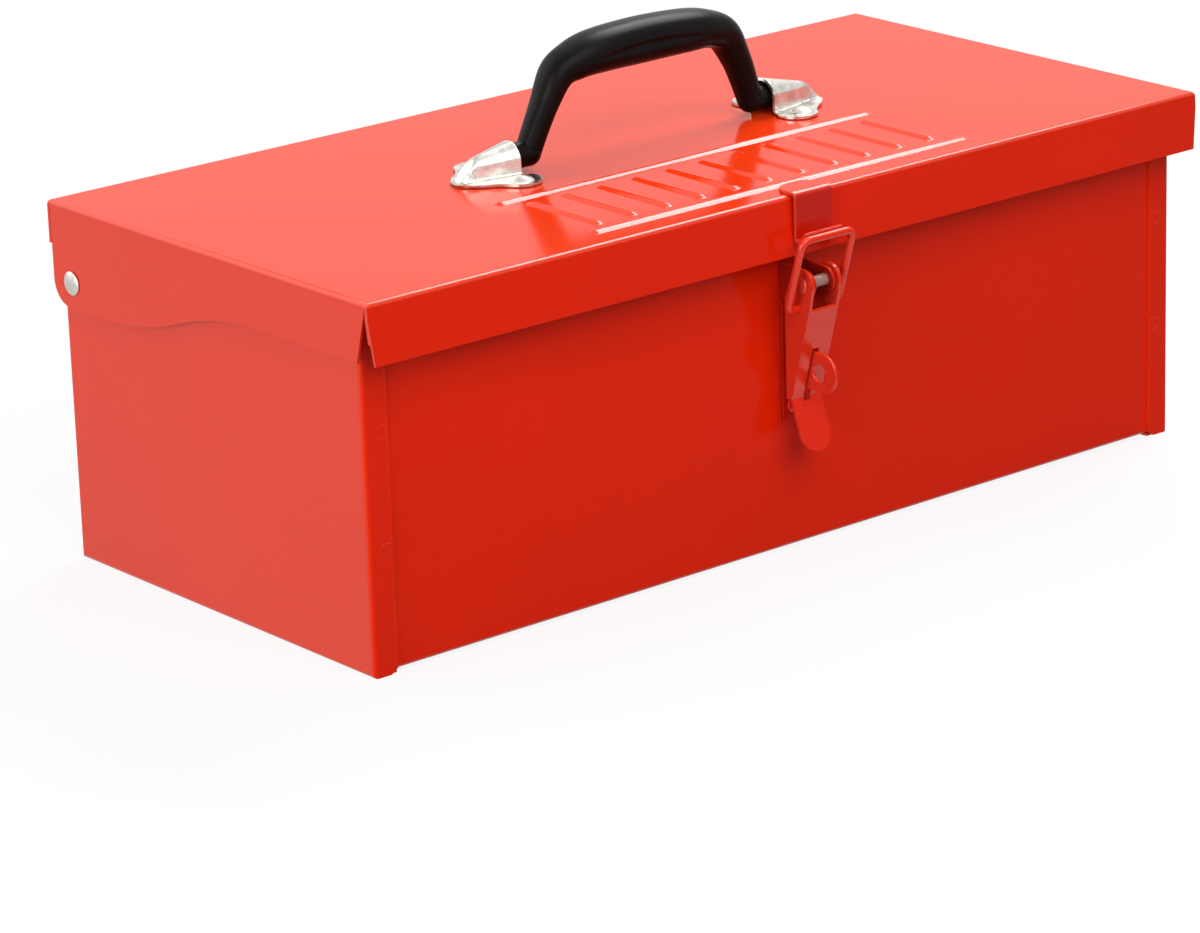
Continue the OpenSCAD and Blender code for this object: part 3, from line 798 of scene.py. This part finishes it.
@dataclass
class BoxBody:
    """Trough, end panels, their spot welds and the hinge hardware."""

    dresser: Dresser
    edge: float = 0.22 * MM
    weld_x: float = 168.0
    weld_z: Span = (79.0, 41.0)
    weld_r: float = 2.2
    face_y: float = 80.0
    seam_x: float = 165.5
    lip: Span = (0.4, 0.12)
    lip_z: Span = (2.6, 112.0)

    def build(self) -> None:
        """Dresses every piece of the body."""
        self.dresser.soften("body_trough", "body", "body_paint", Finish.ENAMEL, self.edge)
        for side in ("left", "right"):
            self.dresser.soften(f"end_panel_{side}", "body", "body_paint", Finish.ENAMEL, self.edge)
        for side in ("left", "right"):
            self.dresser.soften(f"lid_rivet_{side}", "body", "rivet_steel", Finish.RIVET, 0.15 * MM)
            self.dresser.soften(f"lid_washer_{side}", "body", "washer_steel", Finish.ZINC, 0.1 * MM)
        for x, side in ((-self.weld_x, "left"), (self.weld_x, "right")):
            for y, face in ((-self.face_y, "front"), (self.face_y, "back")):
                self.welds(x, y, f"spot_welds_{face}_{side}")
                self.seam(math.copysign(self.seam_x, x), y, f"seam_lip_{face}_{side}")

    def seam(self, x: float, y: float, name: str) -> None:
        """Adds the thin ridge of enamel that gathers along the free edge of one flange.

        Args:
            x: Place of the free edge along X.
            y: Outer face of the flange.
            name: Name of the piece.
        """
        half, tall = self.lip
        low, high = self.lip_z
        middle, out = x + math.copysign(half, x), math.copysign(1.0, y)
        rows = [[((middle + half * t) * MM, (y + out * (tall * (1 - t * t) - 0.01)) * MM, z * MM)
                 for t in (i / 5 - 1 for i in range(11))] for z in (low, high)]
        winding = Winding.FORWARD if y < 0 else Winding.REVERSED
        mesh = shell("seam_lip", rows, ring=False, winding=winding)
        mesh.materials.append(self.dresser.finishes.get(Finish.ENAMEL))
        mesh.shade_smooth()
        self.dresser.mark(mesh)
        self.dresser.carry(put(name, mesh), "body", "body_paint")

    def welds(self, x: float, y: float, name: str) -> None:
        """Adds the faint rings that spot welding leaves on one flange.

        Args:
            x: Place of the row along X.
            y: Outer face of the flange.
            name: Name of the piece.
        """
        r = self.weld_r
        profile = [(0.0, 0.02), (0.62 * r, 0.02), (0.74 * r, 0.07), (0.84 * r, 0.11),
                   (0.93 * r, 0.08), (1.06 * r, 0.0), (1.1 * r, -0.05), (0.0, -0.05)]
        high, low = self.weld_z
        row = Row(self.dresser, name, 2, (x * MM, y * MM, high * MM), (0.0, 0.0, (low - high) * MM),
                  (math.copysign(math.pi / 2, -y), 0.0, 0.0))
        piece = row.build(turned("spot_weld", profile, 24), Finish.ENAMEL)
        self.dresser.mark(piece.data)
        self.dresser.carry(piece, "body", "body_paint")


@dataclass
class HandleBracket:
    """Plated bracket pressed from one sheet, its tunnel flowing into the riveted plate.

    Sizes are in millimetres, with X outwards from the middle of the handle. "arch" is the height
    of the tunnel's middle and its radius, and "taper" how fast that radius shrinks. "lobes" are
    the rear and the front lobe as X, Y and radius, "nose" is X and radius, "waist" radius and
    depth, "skirt" height and reach. "throat" and "flare" are where a change starts and how long
    it takes, "blends" the two roundings where forms meet, and "release" the last share of the
    width, over which the rows go back to the rim.
    """

    dresser: Dresser
    side: str
    shift: float = 1.8
    axis_y: float = -4.0
    plate_top: float = 124.6
    sheet: float = 0.95
    mouth: float = 56.2
    arch: Span = (4.7, 6.2)
    taper: float = 0.2
    foot: float = 78.6
    lobes: tuple[Point, ...] = ((61.0, 12.5, 6.8), (60.0, 10.3, 7.2))
    nose: Span = (73.2, 6.0)
    waist: Span = (22.0, 0.9)
    wall: float = 12.0
    skirt: Span = (0.9, 1.2)
    throat: Span = (7.2, 2.2)
    blends: Span = (0.7, 1.2)
    release: float = 0.28
    flare: Span = (0.3, 6.3)
    rim: float = 0.25
    columns: int = 64

    def right_edge(self, y: float) -> float:
        """Outer edge of the plate.

        Args:
            y: Distance from the middle line.

        Returns:
            Place of the edge along X.
        """
        lobe_x, lobe_y, lobe_r = self.lobes[y < 0]
        nose_x, nose_r = self.nose
        y = abs(y)
        span = Vector((nose_x - lobe_x, -lobe_y))
        along = span.normalized()
        lean = (lobe_r - nose_r) / span.length
        out = lean * along + math.sqrt(1 - lean * lean) * Vector((-along.y, along.x))
        on_nose = Vector((nose_x, 0.0)) + nose_r * out
        on_lobe = Vector((lobe_x, lobe_y)) + lobe_r * out
        if y <= on_nose.y:
            edge = nose_x + math.sqrt(nose_r ** 2 - y * y)
        elif y >= on_lobe.y:
            edge = lobe_x + math.sqrt(max(lobe_r ** 2 - (y - lobe_y) ** 2, 0.0))
        else:
            share = (y - on_nose.y) / (on_lobe.y - on_nose.y)
            edge = on_nose.x + share * (on_lobe.x - on_nose.x)
        waist_r, depth = self.waist
        middle = (Vector((nose_x, 0.0)) + Vector((lobe_x, lobe_y))) / 2
        middle += ((lobe_r + nose_r) / 2 + waist_r - depth) * Vector((-along.y, along.x))
        if abs(y - middle.y) < waist_r:
            edge = min(edge, middle.x - math.sqrt(waist_r ** 2 - (y - middle.y) ** 2))
        return edge

    def left_edge(self, y: float) -> float:
        """Inner edge of the plate, set back where the tunnel opens.

        Args:
            y: Distance from the middle line.

        Returns:
            Place of the edge along X.
        """
        lobe_x, lobe_y, lobe_r = self.lobes[y < 0]
        y = abs(y)
        if y > lobe_y:
            return lobe_x - math.sqrt(max(lobe_r ** 2 - (y - lobe_y) ** 2, 0.0))
        start, length = self.throat
        return self.mouth + (lobe_x - lobe_r - self.mouth) * smooth_step(y - start, 0.0, length)

    def height(self, x: float, y: float) -> float:
        """Height of the pressed sheet above the plate.

        Args:
            x: Distance out from the middle of the handle.
            y: Distance from the middle line.

        Returns:
            The height.
        """
        base, radius = self.arch
        r = radius - self.taper * max(x - self.mouth, 0.0)
        y = abs(y)
        knee = 0.97 * r
        tunnel = base + math.sqrt(r * r - min(y, knee) ** 2) - self.wall * max(y - knee, 0.0)
        tall, reach = self.skirt
        skirt = tall * (base + r) / (base + radius) * math.exp(-max(y - r, 0.0) / reach)
        tight, wide = self.blends
        arch = self.smooth_top(tunnel, skirt, tight)
        low = -self.smooth_top(-arch, x - self.foot, wide)
        return self.smooth_top(low, 0.0, wide)

    @staticmethod
    def smooth_top(a: float, b: float, soft: float) -> float:
        """The larger of two values, rounded where they meet."""
        blend = max(soft - abs(a - b), 0.0) / soft
        return max(a, b) + blend * blend * soft / 4

    def rows(self) -> list[float]:
        """Sets out the mesh rows across the bracket, close together on the tunnel's walls.

        Returns:
            Place of each row, from the front rim to the rear one.
        """
        radius = self.arch[1]
        near = [radius * math.sin(math.radians(5.5 * i)) for i in range(14)]
        near += [radius - 0.2 + 0.05 * i for i in range(9)] + [radius + v for v in (0.3, 0.5, 0.8)]
        rear, front = (near + [
            y + r - 0.02 - (y + r - 0.02 - radius - 1.2) * math.cos(math.pi / 2 * i / 26)
            for i in range(27)] for _, y, r in self.lobes)
        return [-y for y in front[:0:-1]] + rear

    def drawn_in(self, x: float, y: float, share: float) -> float:
        """Draws a mesh row in as the tunnel narrows, and back out to the rim.

        Args:
            x: Distance out from the middle of the handle.
            y: Place of the row at the mouth.
            share: Share of the way from the inner edge to the rim.

        Returns:
            Place of the row at x.
        """
        radius = self.arch[1]
        let_go = smooth_step(share - (1 - self.release), 0.0, self.release)
        shrink = self.taper * max(x - self.mouth, 0.0) * (1 - let_go)
        start, length = self.flare
        outside = max(abs(y) - radius - start, 0.0) / length
        pull = min(abs(y) / radius, 1.0) * max(1 - outside, 0.0)
        return y - math.copysign(shrink * pull, y)

    def build(self) -> None:
        """Builds the bracket in place of its solid."""
        across = self.columns
        sign = 1 if self.side == "right" else -1
        rows = []
        for y in self.rows():
            left, right = self.left_edge(y), self.right_edge(y)
            row = []
            for i in range(across + 1):
                x = left + (right - left) * i / across
                v = self.drawn_in(x, y, i / across)
                row.append(((self.shift + sign * x) * MM, (self.axis_y + v) * MM,
                            (self.plate_top + self.height(x, v)) * MM))
            rows.append(row)
        winding = Winding.FORWARD if sign > 0 else Winding.REVERSED
        mesh = shell("bracket", rows, ring=False, winding=winding, gap=COARSE)
        mesh.materials.append(self.dresser.finishes.get(Finish.NICKEL))
        mesh.shade_smooth()
        piece = put(f"pressed_bracket_{self.side}", mesh)
        wall = piece.modifiers.new("sheet", "SOLIDIFY")
        wall.thickness, wall.offset = self.sheet * MM, -1.0
        rim = piece.modifiers.new("rim", "BEVEL")
        rim.limit_method, rim.angle_limit = "ANGLE", math.radians(60)
        rim.width, rim.segments = self.rim * MM, 2
        normals = piece.modifiers.new("normals", "WEIGHTED_NORMAL")
        normals.keep_sharp = False
        settle(piece)
        self.dresser.carry(piece, "lid", "bracket_nickel", f"handle_bracket_{self.side}")


@dataclass
class BoxLid:
    """Lid with its pressed beads, and the brackets riveted to it."""

    dresser: Dresser
    edge: float = 0.22 * MM
    top: float = 123.6
    bead_half: float = 79.0
    bead_reach: float = 2.6
    bead_height: float = 0.85
    long_beads: Span = (-77.2, -29.8)
    short_beads: Span = (-69.2, -37.8)
    short_count: int = 11
    lobe: Point = (61.0, -4.0, 12.5)
    shift: float = 1.8
    sheets: Span = (0.9, 1.0)
    head: Span = (4.0, 2.2)
    outlines: dict[str, dict[str, Any]] = field(default_factory=lambda: {
        "left": {"arch": (4.3, 6.2)},
        "right": {"mouth": 54.2, "arch": (5.0, 6.3), "taper": 0.24, "foot": 79.6,
                  "lobes": ((60.4, 12.5, 6.8), (60.6, 10.3, 7.4)), "nose": (73.6, 6.0)}})

    def build(self) -> None:
        """Dresses every piece of the lid."""
        self.dresser.soften("lid", "lid", "lid_paint", Finish.ENAMEL, self.edge)
        front, rear = self.long_beads
        self.beads("beads_long", 2, (0.0, front), (0.0, rear - front), (self.bead_half, 0.0))
        pitch = 2 * self.bead_half / self.short_count
        low, high = self.short_beads
        self.beads("beads_short", self.short_count, (pitch / 2 - self.bead_half, (low + high) / 2),
                   (pitch, 0.0), (0.0, (high - low) / 2))
        for side, sizes in self.outlines.items():
            HandleBracket(self.dresser, side, **sizes).build()
            self.rivets(side)

    def beads(self, name: str, count: int, start: Span, step: Span, half: Span) -> None:
        """Adds a row of pressed beads that flow out of the lid's top.

        Args:
            name: Name of the piece.
            count: Number of beads.
            start: Middle of the first bead.
            step: From one bead to the next.
            half: From the middle of a bead to the centre of its round end.
        """
        turn = math.atan2(half[1], half[0])
        length = math.hypot(*half)
        outline = [(-90 + 15 * i, length) for i in range(13)] + [
            (90 + 15 * i, -length) for i in range(13)]
        rings = []
        for level in (0.0, 0.1, 0.2, 0.32, 0.44, 0.56, 0.66, 0.76, 0.86, 0.94, 1.0):
            s = level * level
            height = self.bead_height * (1 - s) ** 2 * (1 + 0.5 * s) - 0.012 * s
            reach = level * self.bead_reach
            rings.append([((middle + reach * math.cos(math.radians(angle))) * MM,
                           reach * math.sin(math.radians(angle)) * MM, height * MM)
                          for angle, middle in outline])
        mesh = shell("bead", rings, winding=Winding.SIDEWAYS)
        row = Row(self.dresser, name, count, (start[0] * MM, start[1] * MM, self.top * MM),
                  (step[0] * MM, step[1] * MM, 0.0), (0.0, 0.0, turn))
        piece = row.build(mesh, Finish.ENAMEL)
        self.dresser.mark(piece.data)
        self.dresser.carry(piece, "lid", "lid_paint")

    def rivets(self, side: str) -> None:
        """Adds the two domed rivets of one bracket, with their tails under the lid.

        Args:
            side: "left" or "right".
        """
        lid_sheet, plate = self.sheets
        head, shank, tail = self.head, 2.0, 3.2
        rim = head[1] / 5
        cap = head[1] - rim
        r = (head[0] ** 2 + cap ** 2) / (2 * cap)
        widest = math.asin(head[0] / r)
        dome = [(r * math.sin(widest * t / 10), head[1] - r + r * math.cos(widest * t / 10))
                for t in range(10, -1, -1)]
        under = -lid_sheet - plate
        profile = [(0.0, under - 1.0), (tail - 0.3, under - 1.0), (tail, under - 0.7),
                   (tail, under), (shank, under), (shank, 0.0), (head[0] - 0.05, 0.0),
                   (head[0], 0.12)] + dome
        x, y, lobe = self.lobe
        sign = 1 if side == "right" else -1
        row = Row(self.dresser, f"bracket_rivets_{side}", 2,
                  ((self.shift + sign * x) * MM, (y - lobe) * MM, (self.top + plate) * MM),
                  (0.0, 2 * lobe * MM, 0.0))
        piece = row.build(turned("bracket_rivet", profile, 36), Finish.RIVET)
        self.dresser.carry(piece, "lid", "bracket_nickel", f"handle_rivets_{side}")


@dataclass
class CarryHandle:
    """Moulded handle swept along its curved centre line, with a hollow in each flank."""

    dresser: Dresser
    half_span: float = 48.5
    rise: float = 29.4
    grip: Span = (15.2, 17.0)
    leg: float = 9.0
    shift: float = 1.8
    axis: Span = (-4.0, 129.5)
    stud: Span = (4.4, 2.88)
    stud_mouth: float = 56.2
    stud_end: float = 64.2
    sides: int = 120
    steps: int = 14
    power: float = 2.4
    hollow: Point = (25.0, 2.3, 1.0)
    left_set: tuple[tuple[float, float, float], ...] = (
        (0.0, 0.2, 0.1), (0.3, 0.9, 0.6), (1.2, 0.8, 1.2), (1.6, 0.3, 1.2), (1.0, 0.0, 0.7),
        (0.0, 0.0, 0.0))

    def path(self) -> list[tuple[float, float, float, float]]:
        """Sets out the handle from one foot to the other.

        Returns:
            Rows of place along X, height, thickness and depth.
        """
        tall, deep = self.grip
        reach, rise, leg = self.half_span, self.rise, self.leg
        half = [
            (0.0, rise, tall, deep),
            (reach - 30, rise - 0.3, tall - 0.8, deep),
            (reach - 20, rise - 1.2, tall - 2.2, deep - 1.5),
            (reach - 12, rise - 4.4, tall - 3.6, deep - 4),
            (reach - 6.2, rise - 13.6, leg + 0.6, leg + 1.6),
            (reach - 2.8, rise - 21.6, leg - 0.1, leg + 0.2),
            (reach, 0.0, leg - 0.6, leg - 0.6),
        ]
        left = [(lean - x, z - sag, t - slim, d) for (x, z, t, d), (lean, sag, slim)
                in zip(half[1:], self.left_set)]
        return left[::-1] + half

    @staticmethod
    def smooth(rows: Sequence[Sequence[float]], index: int, t: float) -> list[float]:
        """Point of the smooth curve through the rows.

        Args:
            rows: The rows.
            index: The row before the point.
            t: Share of the way to the next row.

        Returns:
            The interpolated row.
        """
        last = len(rows) - 1
        a, b = rows[max(index - 1, 0)], rows[index]
        c, d = rows[min(index + 1, last)], rows[min(index + 2, last)]
        return [0.5 * (2 * q + (r - p) * t + (2 * p - 5 * q + 4 * r - s) * t * t
                       + (3 * q - p - 3 * r + s) * t ** 3) for p, q, r, s in zip(a, b, c, d)]

    def centre_line(self) -> bpy.types.Mesh:
        """Lays the handle's smooth centre line.

        Returns:
            Line of points that carry its thickness and depth.
        """
        rows = self.path()
        total = (len(rows) - 1) * self.steps
        points = []
        for i in range(total + 1):
            k = min(i // self.steps, len(rows) - 2)
            points.append(self.smooth(rows, k, i / self.steps - k))
        y, z = self.axis
        mesh = bpy.data.meshes.new("handle_line")
        mesh.from_pydata([((self.shift + p[0]) * MM, y * MM, (z + p[1]) * MM) for p in points],
                         [(i, i + 1) for i in range(total)], [])
        for name, column in (("thick", 2), ("deep", 3)):
            marks = mesh.attributes.new(name, "FLOAT", "POINT")
            marks.data.foreach_set("value", [p[column] * MM for p in points])
        return mesh

    def build(self) -> None:
        """Builds the handle in place of its solid."""
        length, half_height, depth = (v * MM for v in self.hollow)
        form = Form("handle_sweep", {
            "Sides": self.sides, "Squareness": self.power, "Hollow Length": length,
            "Hollow Height": half_height, "Hollow Depth": depth, "Middle": self.shift * MM})
        line = form.node("GeometryNodeMeshToCurve", {}, {"Mesh": form.given("Geometry")}, "Curve")
        place = form.node("GeometryNodeInputPosition", {}, {}, "Position")
        heading = form.node("GeometryNodeInputTangent", {}, {}, "Tangent")
        line = form.keep(form.keep(line, "centre", place), "heading", heading)
        ring = form.node("GeometryNodeCurvePrimitiveCircle", {"mode": "RADIUS"}, {
            "Resolution": form.given("Sides"), "Radius": 1.0}, "Curve")
        ring = form.keep(ring, "round", place)
        tube = form.node("GeometryNodeCurveToMesh", {}, {
            "Curve": line, "Profile Curve": ring, "Fill Caps": True}, "Mesh")
        flat, side, _ = form.parts(form.read("round"))
        bend = 2.0 / form.given("Squareness")
        tall = flat.sign() * flat.size() ** bend * form.read("thick", "FLOAT") * 0.5
        wide = side.sign() * side.size() ** bend * form.read("deep", "FLOAT") * 0.5
        ahead_x, _, ahead_z = form.parts(form.read("heading"))
        centre = form.read("centre")
        along = (form.parts(centre)[0] - form.given("Middle")) / form.given("Hollow Length")
        leaf = (1.0 - along * along).most(0.0)
        level = (tall + 0.8 * MM) / (form.given("Hollow Height") * leaf.most(0.001))
        dip = ((level + 1.0) * 0.6).least((1.0 - level) * 2.6).most(0.0).least(1.0)
        dip = dip * dip * (3.0 - dip * 2.0)
        wide = wide - side.sign() * dip * leaf * form.given("Hollow Depth")
        across = form.joined(-ahead_z, 0.0, ahead_x)
        spot = form.vector("ADD", centre, form.vector(
            "ADD", form.scaled(across, tall), form.joined(0.0, wide, 0.0)))
        shape = form.node("GeometryNodeSetPosition", {}, {"Geometry": tube, "Position": spot},
                          "Geometry")
        piece = form.make("carry_handle", self.centre_line(), shape,
                          self.dresser.finishes.get(Finish.HANDLE))
        self.dresser.carry(piece, "handle", "handle_plastic", "handle_grip")
        for side_sign in (-1, 1):
            self.stud_piece(side_sign)

    def stud_piece(self, side: int) -> None:
        """Adds the rounded foot and the stud at one end.

        Args:
            side: -1 for the left end, 1 for the right.
        """
        r = self.leg / 2
        wide, narrow = self.stud
        profile = [(r * math.sin(a), self.half_span - r * math.cos(a))
                   for a in (math.pi / 2 * i / 10 for i in range(11))]
        profile += [(wide + 0.05, self.half_span + 0.6), (wide, self.half_span + 1.2),
                    (wide, self.stud_mouth), (narrow + 0.15, self.stud_end - 0.4),
                    (narrow - 0.15, self.stud_end - 0.1), (narrow - 0.5, self.stud_end),
                    (0.0, self.stud_end)]
        name = "handle_stud_" + ("right" if side > 0 else "left")
        mesh = turned(name, profile, 44)
        y, z = self.axis
        mesh.transform(Matrix.Translation((self.shift * MM, y * MM, z * MM))
                       @ Matrix.Rotation(side * math.pi / 2, 4, "Y"))
        mesh.materials.append(self.dresser.finishes.get(Finish.HANDLE))
        mesh.shade_smooth()
        self.dresser.carry(put(name, mesh), "handle", "handle_plastic")


@dataclass
class ToggleLatch:
    """Keeper, base, lever, wire loop and padlock staple."""

    dresser: Dresser
    edge: float = 0.28 * MM
    wire: float = 2.6
    half_width: float = 11.0
    corners: Span = (3.0, 2.4)
    foot: Span = (-90.3, 85.8)
    bar: Span = (-98.0, 110.5)
    foot_end: float = 5.05
    homes: dict[str, tuple[str, Finish]] = field(default_factory=lambda: {
        "latch_keeper": ("lid", Finish.KEEPER), "latch_base": ("body", Finish.BASE),
        "latch_rivets": ("body", Finish.LATCH), "latch_pin": ("body", Finish.PIN),
        "latch_lever": ("lever", Finish.LATCH), "padlock_staple": ("body", Finish.LATCH)})

    def build(self) -> None:
        """Dresses every piece of the latch."""
        for node, (body, finish) in self.homes.items():
            self.dresser.soften(node, body, "latch_paint", finish, self.edge)
        self.wire_loop()

    def wire_loop(self) -> None:
        """Bends the loop from round wire that follows its path from foot to foot."""
        w, (y0, z0), (y1, z1) = self.half_width, self.foot, self.bar
        stops = [(-self.foot_end, y0, z0, 0.0), (-w, y0, z0, self.corners[1]),
                 (-w, y1, z1, self.corners[0]), (w, y1, z1, self.corners[0]),
                 (w, y0, z0, self.corners[1]), (self.foot_end, y0, z0, 0.0)]
        seed = bpy.data.meshes.new("loop_line")
        seed.from_pydata([(x * MM, y * MM, z * MM) for x, y, z, _ in stops],
                         [(i, i + 1) for i in range(len(stops) - 1)], [])
        bends = seed.attributes.new("bend", "FLOAT", "POINT")
        bends.data.foreach_set("value", [r * MM for *_, r in stops])
        form = Form("wire", {"Wire Radius": self.wire / 2 * MM, "Sides": 24, "Corner Steps": 12})
        line = form.node("GeometryNodeMeshToCurve", {}, {"Mesh": form.given("Geometry")}, "Curve")
        line = form.node("GeometryNodeFilletCurve", {"mode": "POLY"}, {
            "Curve": line, "Radius": form.read("bend", "FLOAT"),
            "Count": form.given("Corner Steps")}, "Curve")
        ring = form.node("GeometryNodeCurvePrimitiveCircle", {"mode": "RADIUS"}, {
            "Resolution": form.given("Sides"), "Radius": form.given("Wire Radius")}, "Curve")
        tube = form.node("GeometryNodeCurveToMesh", {}, {
            "Curve": line, "Profile Curve": ring, "Fill Caps": True}, "Mesh")
        piece = form.make("latch_wire", seed, tube, self.dresser.finishes.get(Finish.LATCH))
        self.dresser.mark(piece.data, True)
        self.dresser.carry(piece, "loop", "latch_paint", "latch_loop")


# ---------------------------------------------------------------- studio


@dataclass(frozen=True)
class Lamp:
    """Soft light panel aimed at the box."""

    name: str
    place: Point
    size: tuple[float, float]
    power: float
    aim: Point = (0.0, 0.0, 0.07)
    along: Point = (1.0, 0.0, 0.0)

    def build(self) -> None:
        """Adds the light, its first side laid along the given direction."""
        data = bpy.data.lights.new(self.name, "AREA")
        data.shape, data.energy = "RECTANGLE", self.power
        data.size, data.size_y = self.size
        back = (Vector(self.place) - Vector(self.aim)).normalized()
        first = Vector(self.along) - Vector(self.along).dot(back) * back
        first.normalize()
        turn = Matrix((first, back.cross(first), back)).transposed()
        made = bpy.data.objects.new(self.name, data)
        made.matrix_world = Matrix.Translation(self.place) @ turn.to_4x4()
        bpy.context.scene.collection.objects.link(made)


@dataclass(frozen=True)
class Studio:
    """White floor, soft light and the camera."""

    azimuth: float = -39.297
    elevation: float = 18.450
    roll: float = -1.792
    slide: Span = (-13.42, 8.78)
    distance: float = 1705.7
    lens_px: float = 4994.96
    frame_px: tuple[int, int] = (1200, 933)
    sensor: float = 36.0
    sky: float = 0.08
    floor_half: float = 8.0
    floor_white: float = 0.32
    floor_seen: float = 0.95
    floor_glow: float = 0.86
    lamps: tuple[Lamp, ...] = (
        Lamp("front_panel", (-0.2, -1.15, 1.1), (1.4, 1.4), 17.8),
        Lamp("left_panel", (-1.5, -0.3, 0.45), (1.0, 0.8), 13.5, along=(0.0, 1.0, 0.0)),
        Lamp("back_panel", (-0.7, 1.3, 0.8), (1.2, 1.2), 6.5),
        Lamp("right_panel", (0.86, 0.36, 1.18), (0.95, 0.5), 15.5, along=(0.0, 1.0, 0.0)),
    )

    def build(self) -> None:
        """Builds the stage, the lights and the camera."""
        self.camera()
        self.floor()
        self.world()
        for lamp in self.lamps:
            lamp.build()
        bpy.context.scene.view_settings.view_transform = "Standard"

    def camera(self) -> None:
        """Places the camera at the viewing angle."""
        a, e, w = (math.radians(v) for v in (self.azimuth, self.elevation, self.roll))
        back = Vector((math.sin(a) * math.cos(e), -math.cos(a) * math.cos(e), math.sin(e)))
        flat = Vector((math.cos(a), math.sin(a), 0.0))
        rise = back.cross(flat)
        right = math.cos(w) * flat + math.sin(w) * rise
        up = -math.sin(w) * flat + math.cos(w) * rise
        data = bpy.data.cameras.new("camera")
        data.sensor_width = self.sensor
        data.lens = self.lens_px / self.frame_px[0] * self.sensor
        made = bpy.data.objects.new("camera", data)
        turn = Matrix((right, up, back)).transposed()
        place = (self.slide[0] * right + self.slide[1] * up + self.distance * back) * MM
        made.matrix_world = Matrix.Translation(place) @ turn.to_4x4()
        bpy.context.scene.collection.objects.link(made)
        bpy.context.scene.camera = made

    def floor(self) -> None:
        """Adds a wide white floor that keeps a soft shadow."""
        half = self.floor_half
        mesh = bpy.data.meshes.new("floor")
        mesh.from_pydata([(-half, -half, 0), (half, -half, 0), (half, half, 0), (-half, half, 0)],
                         [], [(0, 1, 2, 3)])
        paper = bpy.data.materials.new("white_paper")
        g = Graph(paper)
        seen, glossy, clear = g.rays()
        tone = g.blend(seen, (self.floor_white,) * 3, (self.floor_seen,) * 3)
        plain = g.node("ShaderNodeBsdfDiffuse", {}, {"Color": tone})
        glow = g.node("ShaderNodeEmission", {}, {"Color": (1.0, 1.0, 1.0, 1.0), "Strength": 1.0})
        share = (seen + glossy + clear).clamp() * self.floor_glow
        g.surface(g.node("ShaderNodeMixShader", {}, {0: share, 1: plain, 2: glow}))
        mesh.materials.append(paper)
        put("floor", mesh)

    def world(self) -> None:
        """Makes the world an even white room."""
        world = bpy.data.worlds.new("studio")
        bpy.context.scene.world = world
        g = Graph(world)
        seen, glossy, clear = g.rays()
        white = (seen + glossy + clear).clamp()
        glow = g.node("ShaderNodeBackground", {}, {
            "Color": (1.0, 1.0, 1.0, 1.0), "Strength": white * (1.0 - self.sky) + self.sky})
        g.node("ShaderNodeOutputWorld", {}, {"Surface": glow})


def main() -> None:
    """Builds the studio and every sub-assembly."""
    logging.basicConfig(level=logging.INFO, format="%(name)s: %(message)s")
    Studio().build()
    dresser = Dresser(Finishes())
    BoxBody(dresser).build()
    BoxLid(dresser).build()
    CarryHandle(dresser).build()
    ToggleLatch(dresser).build()


if __name__ == "__main__":
    main()
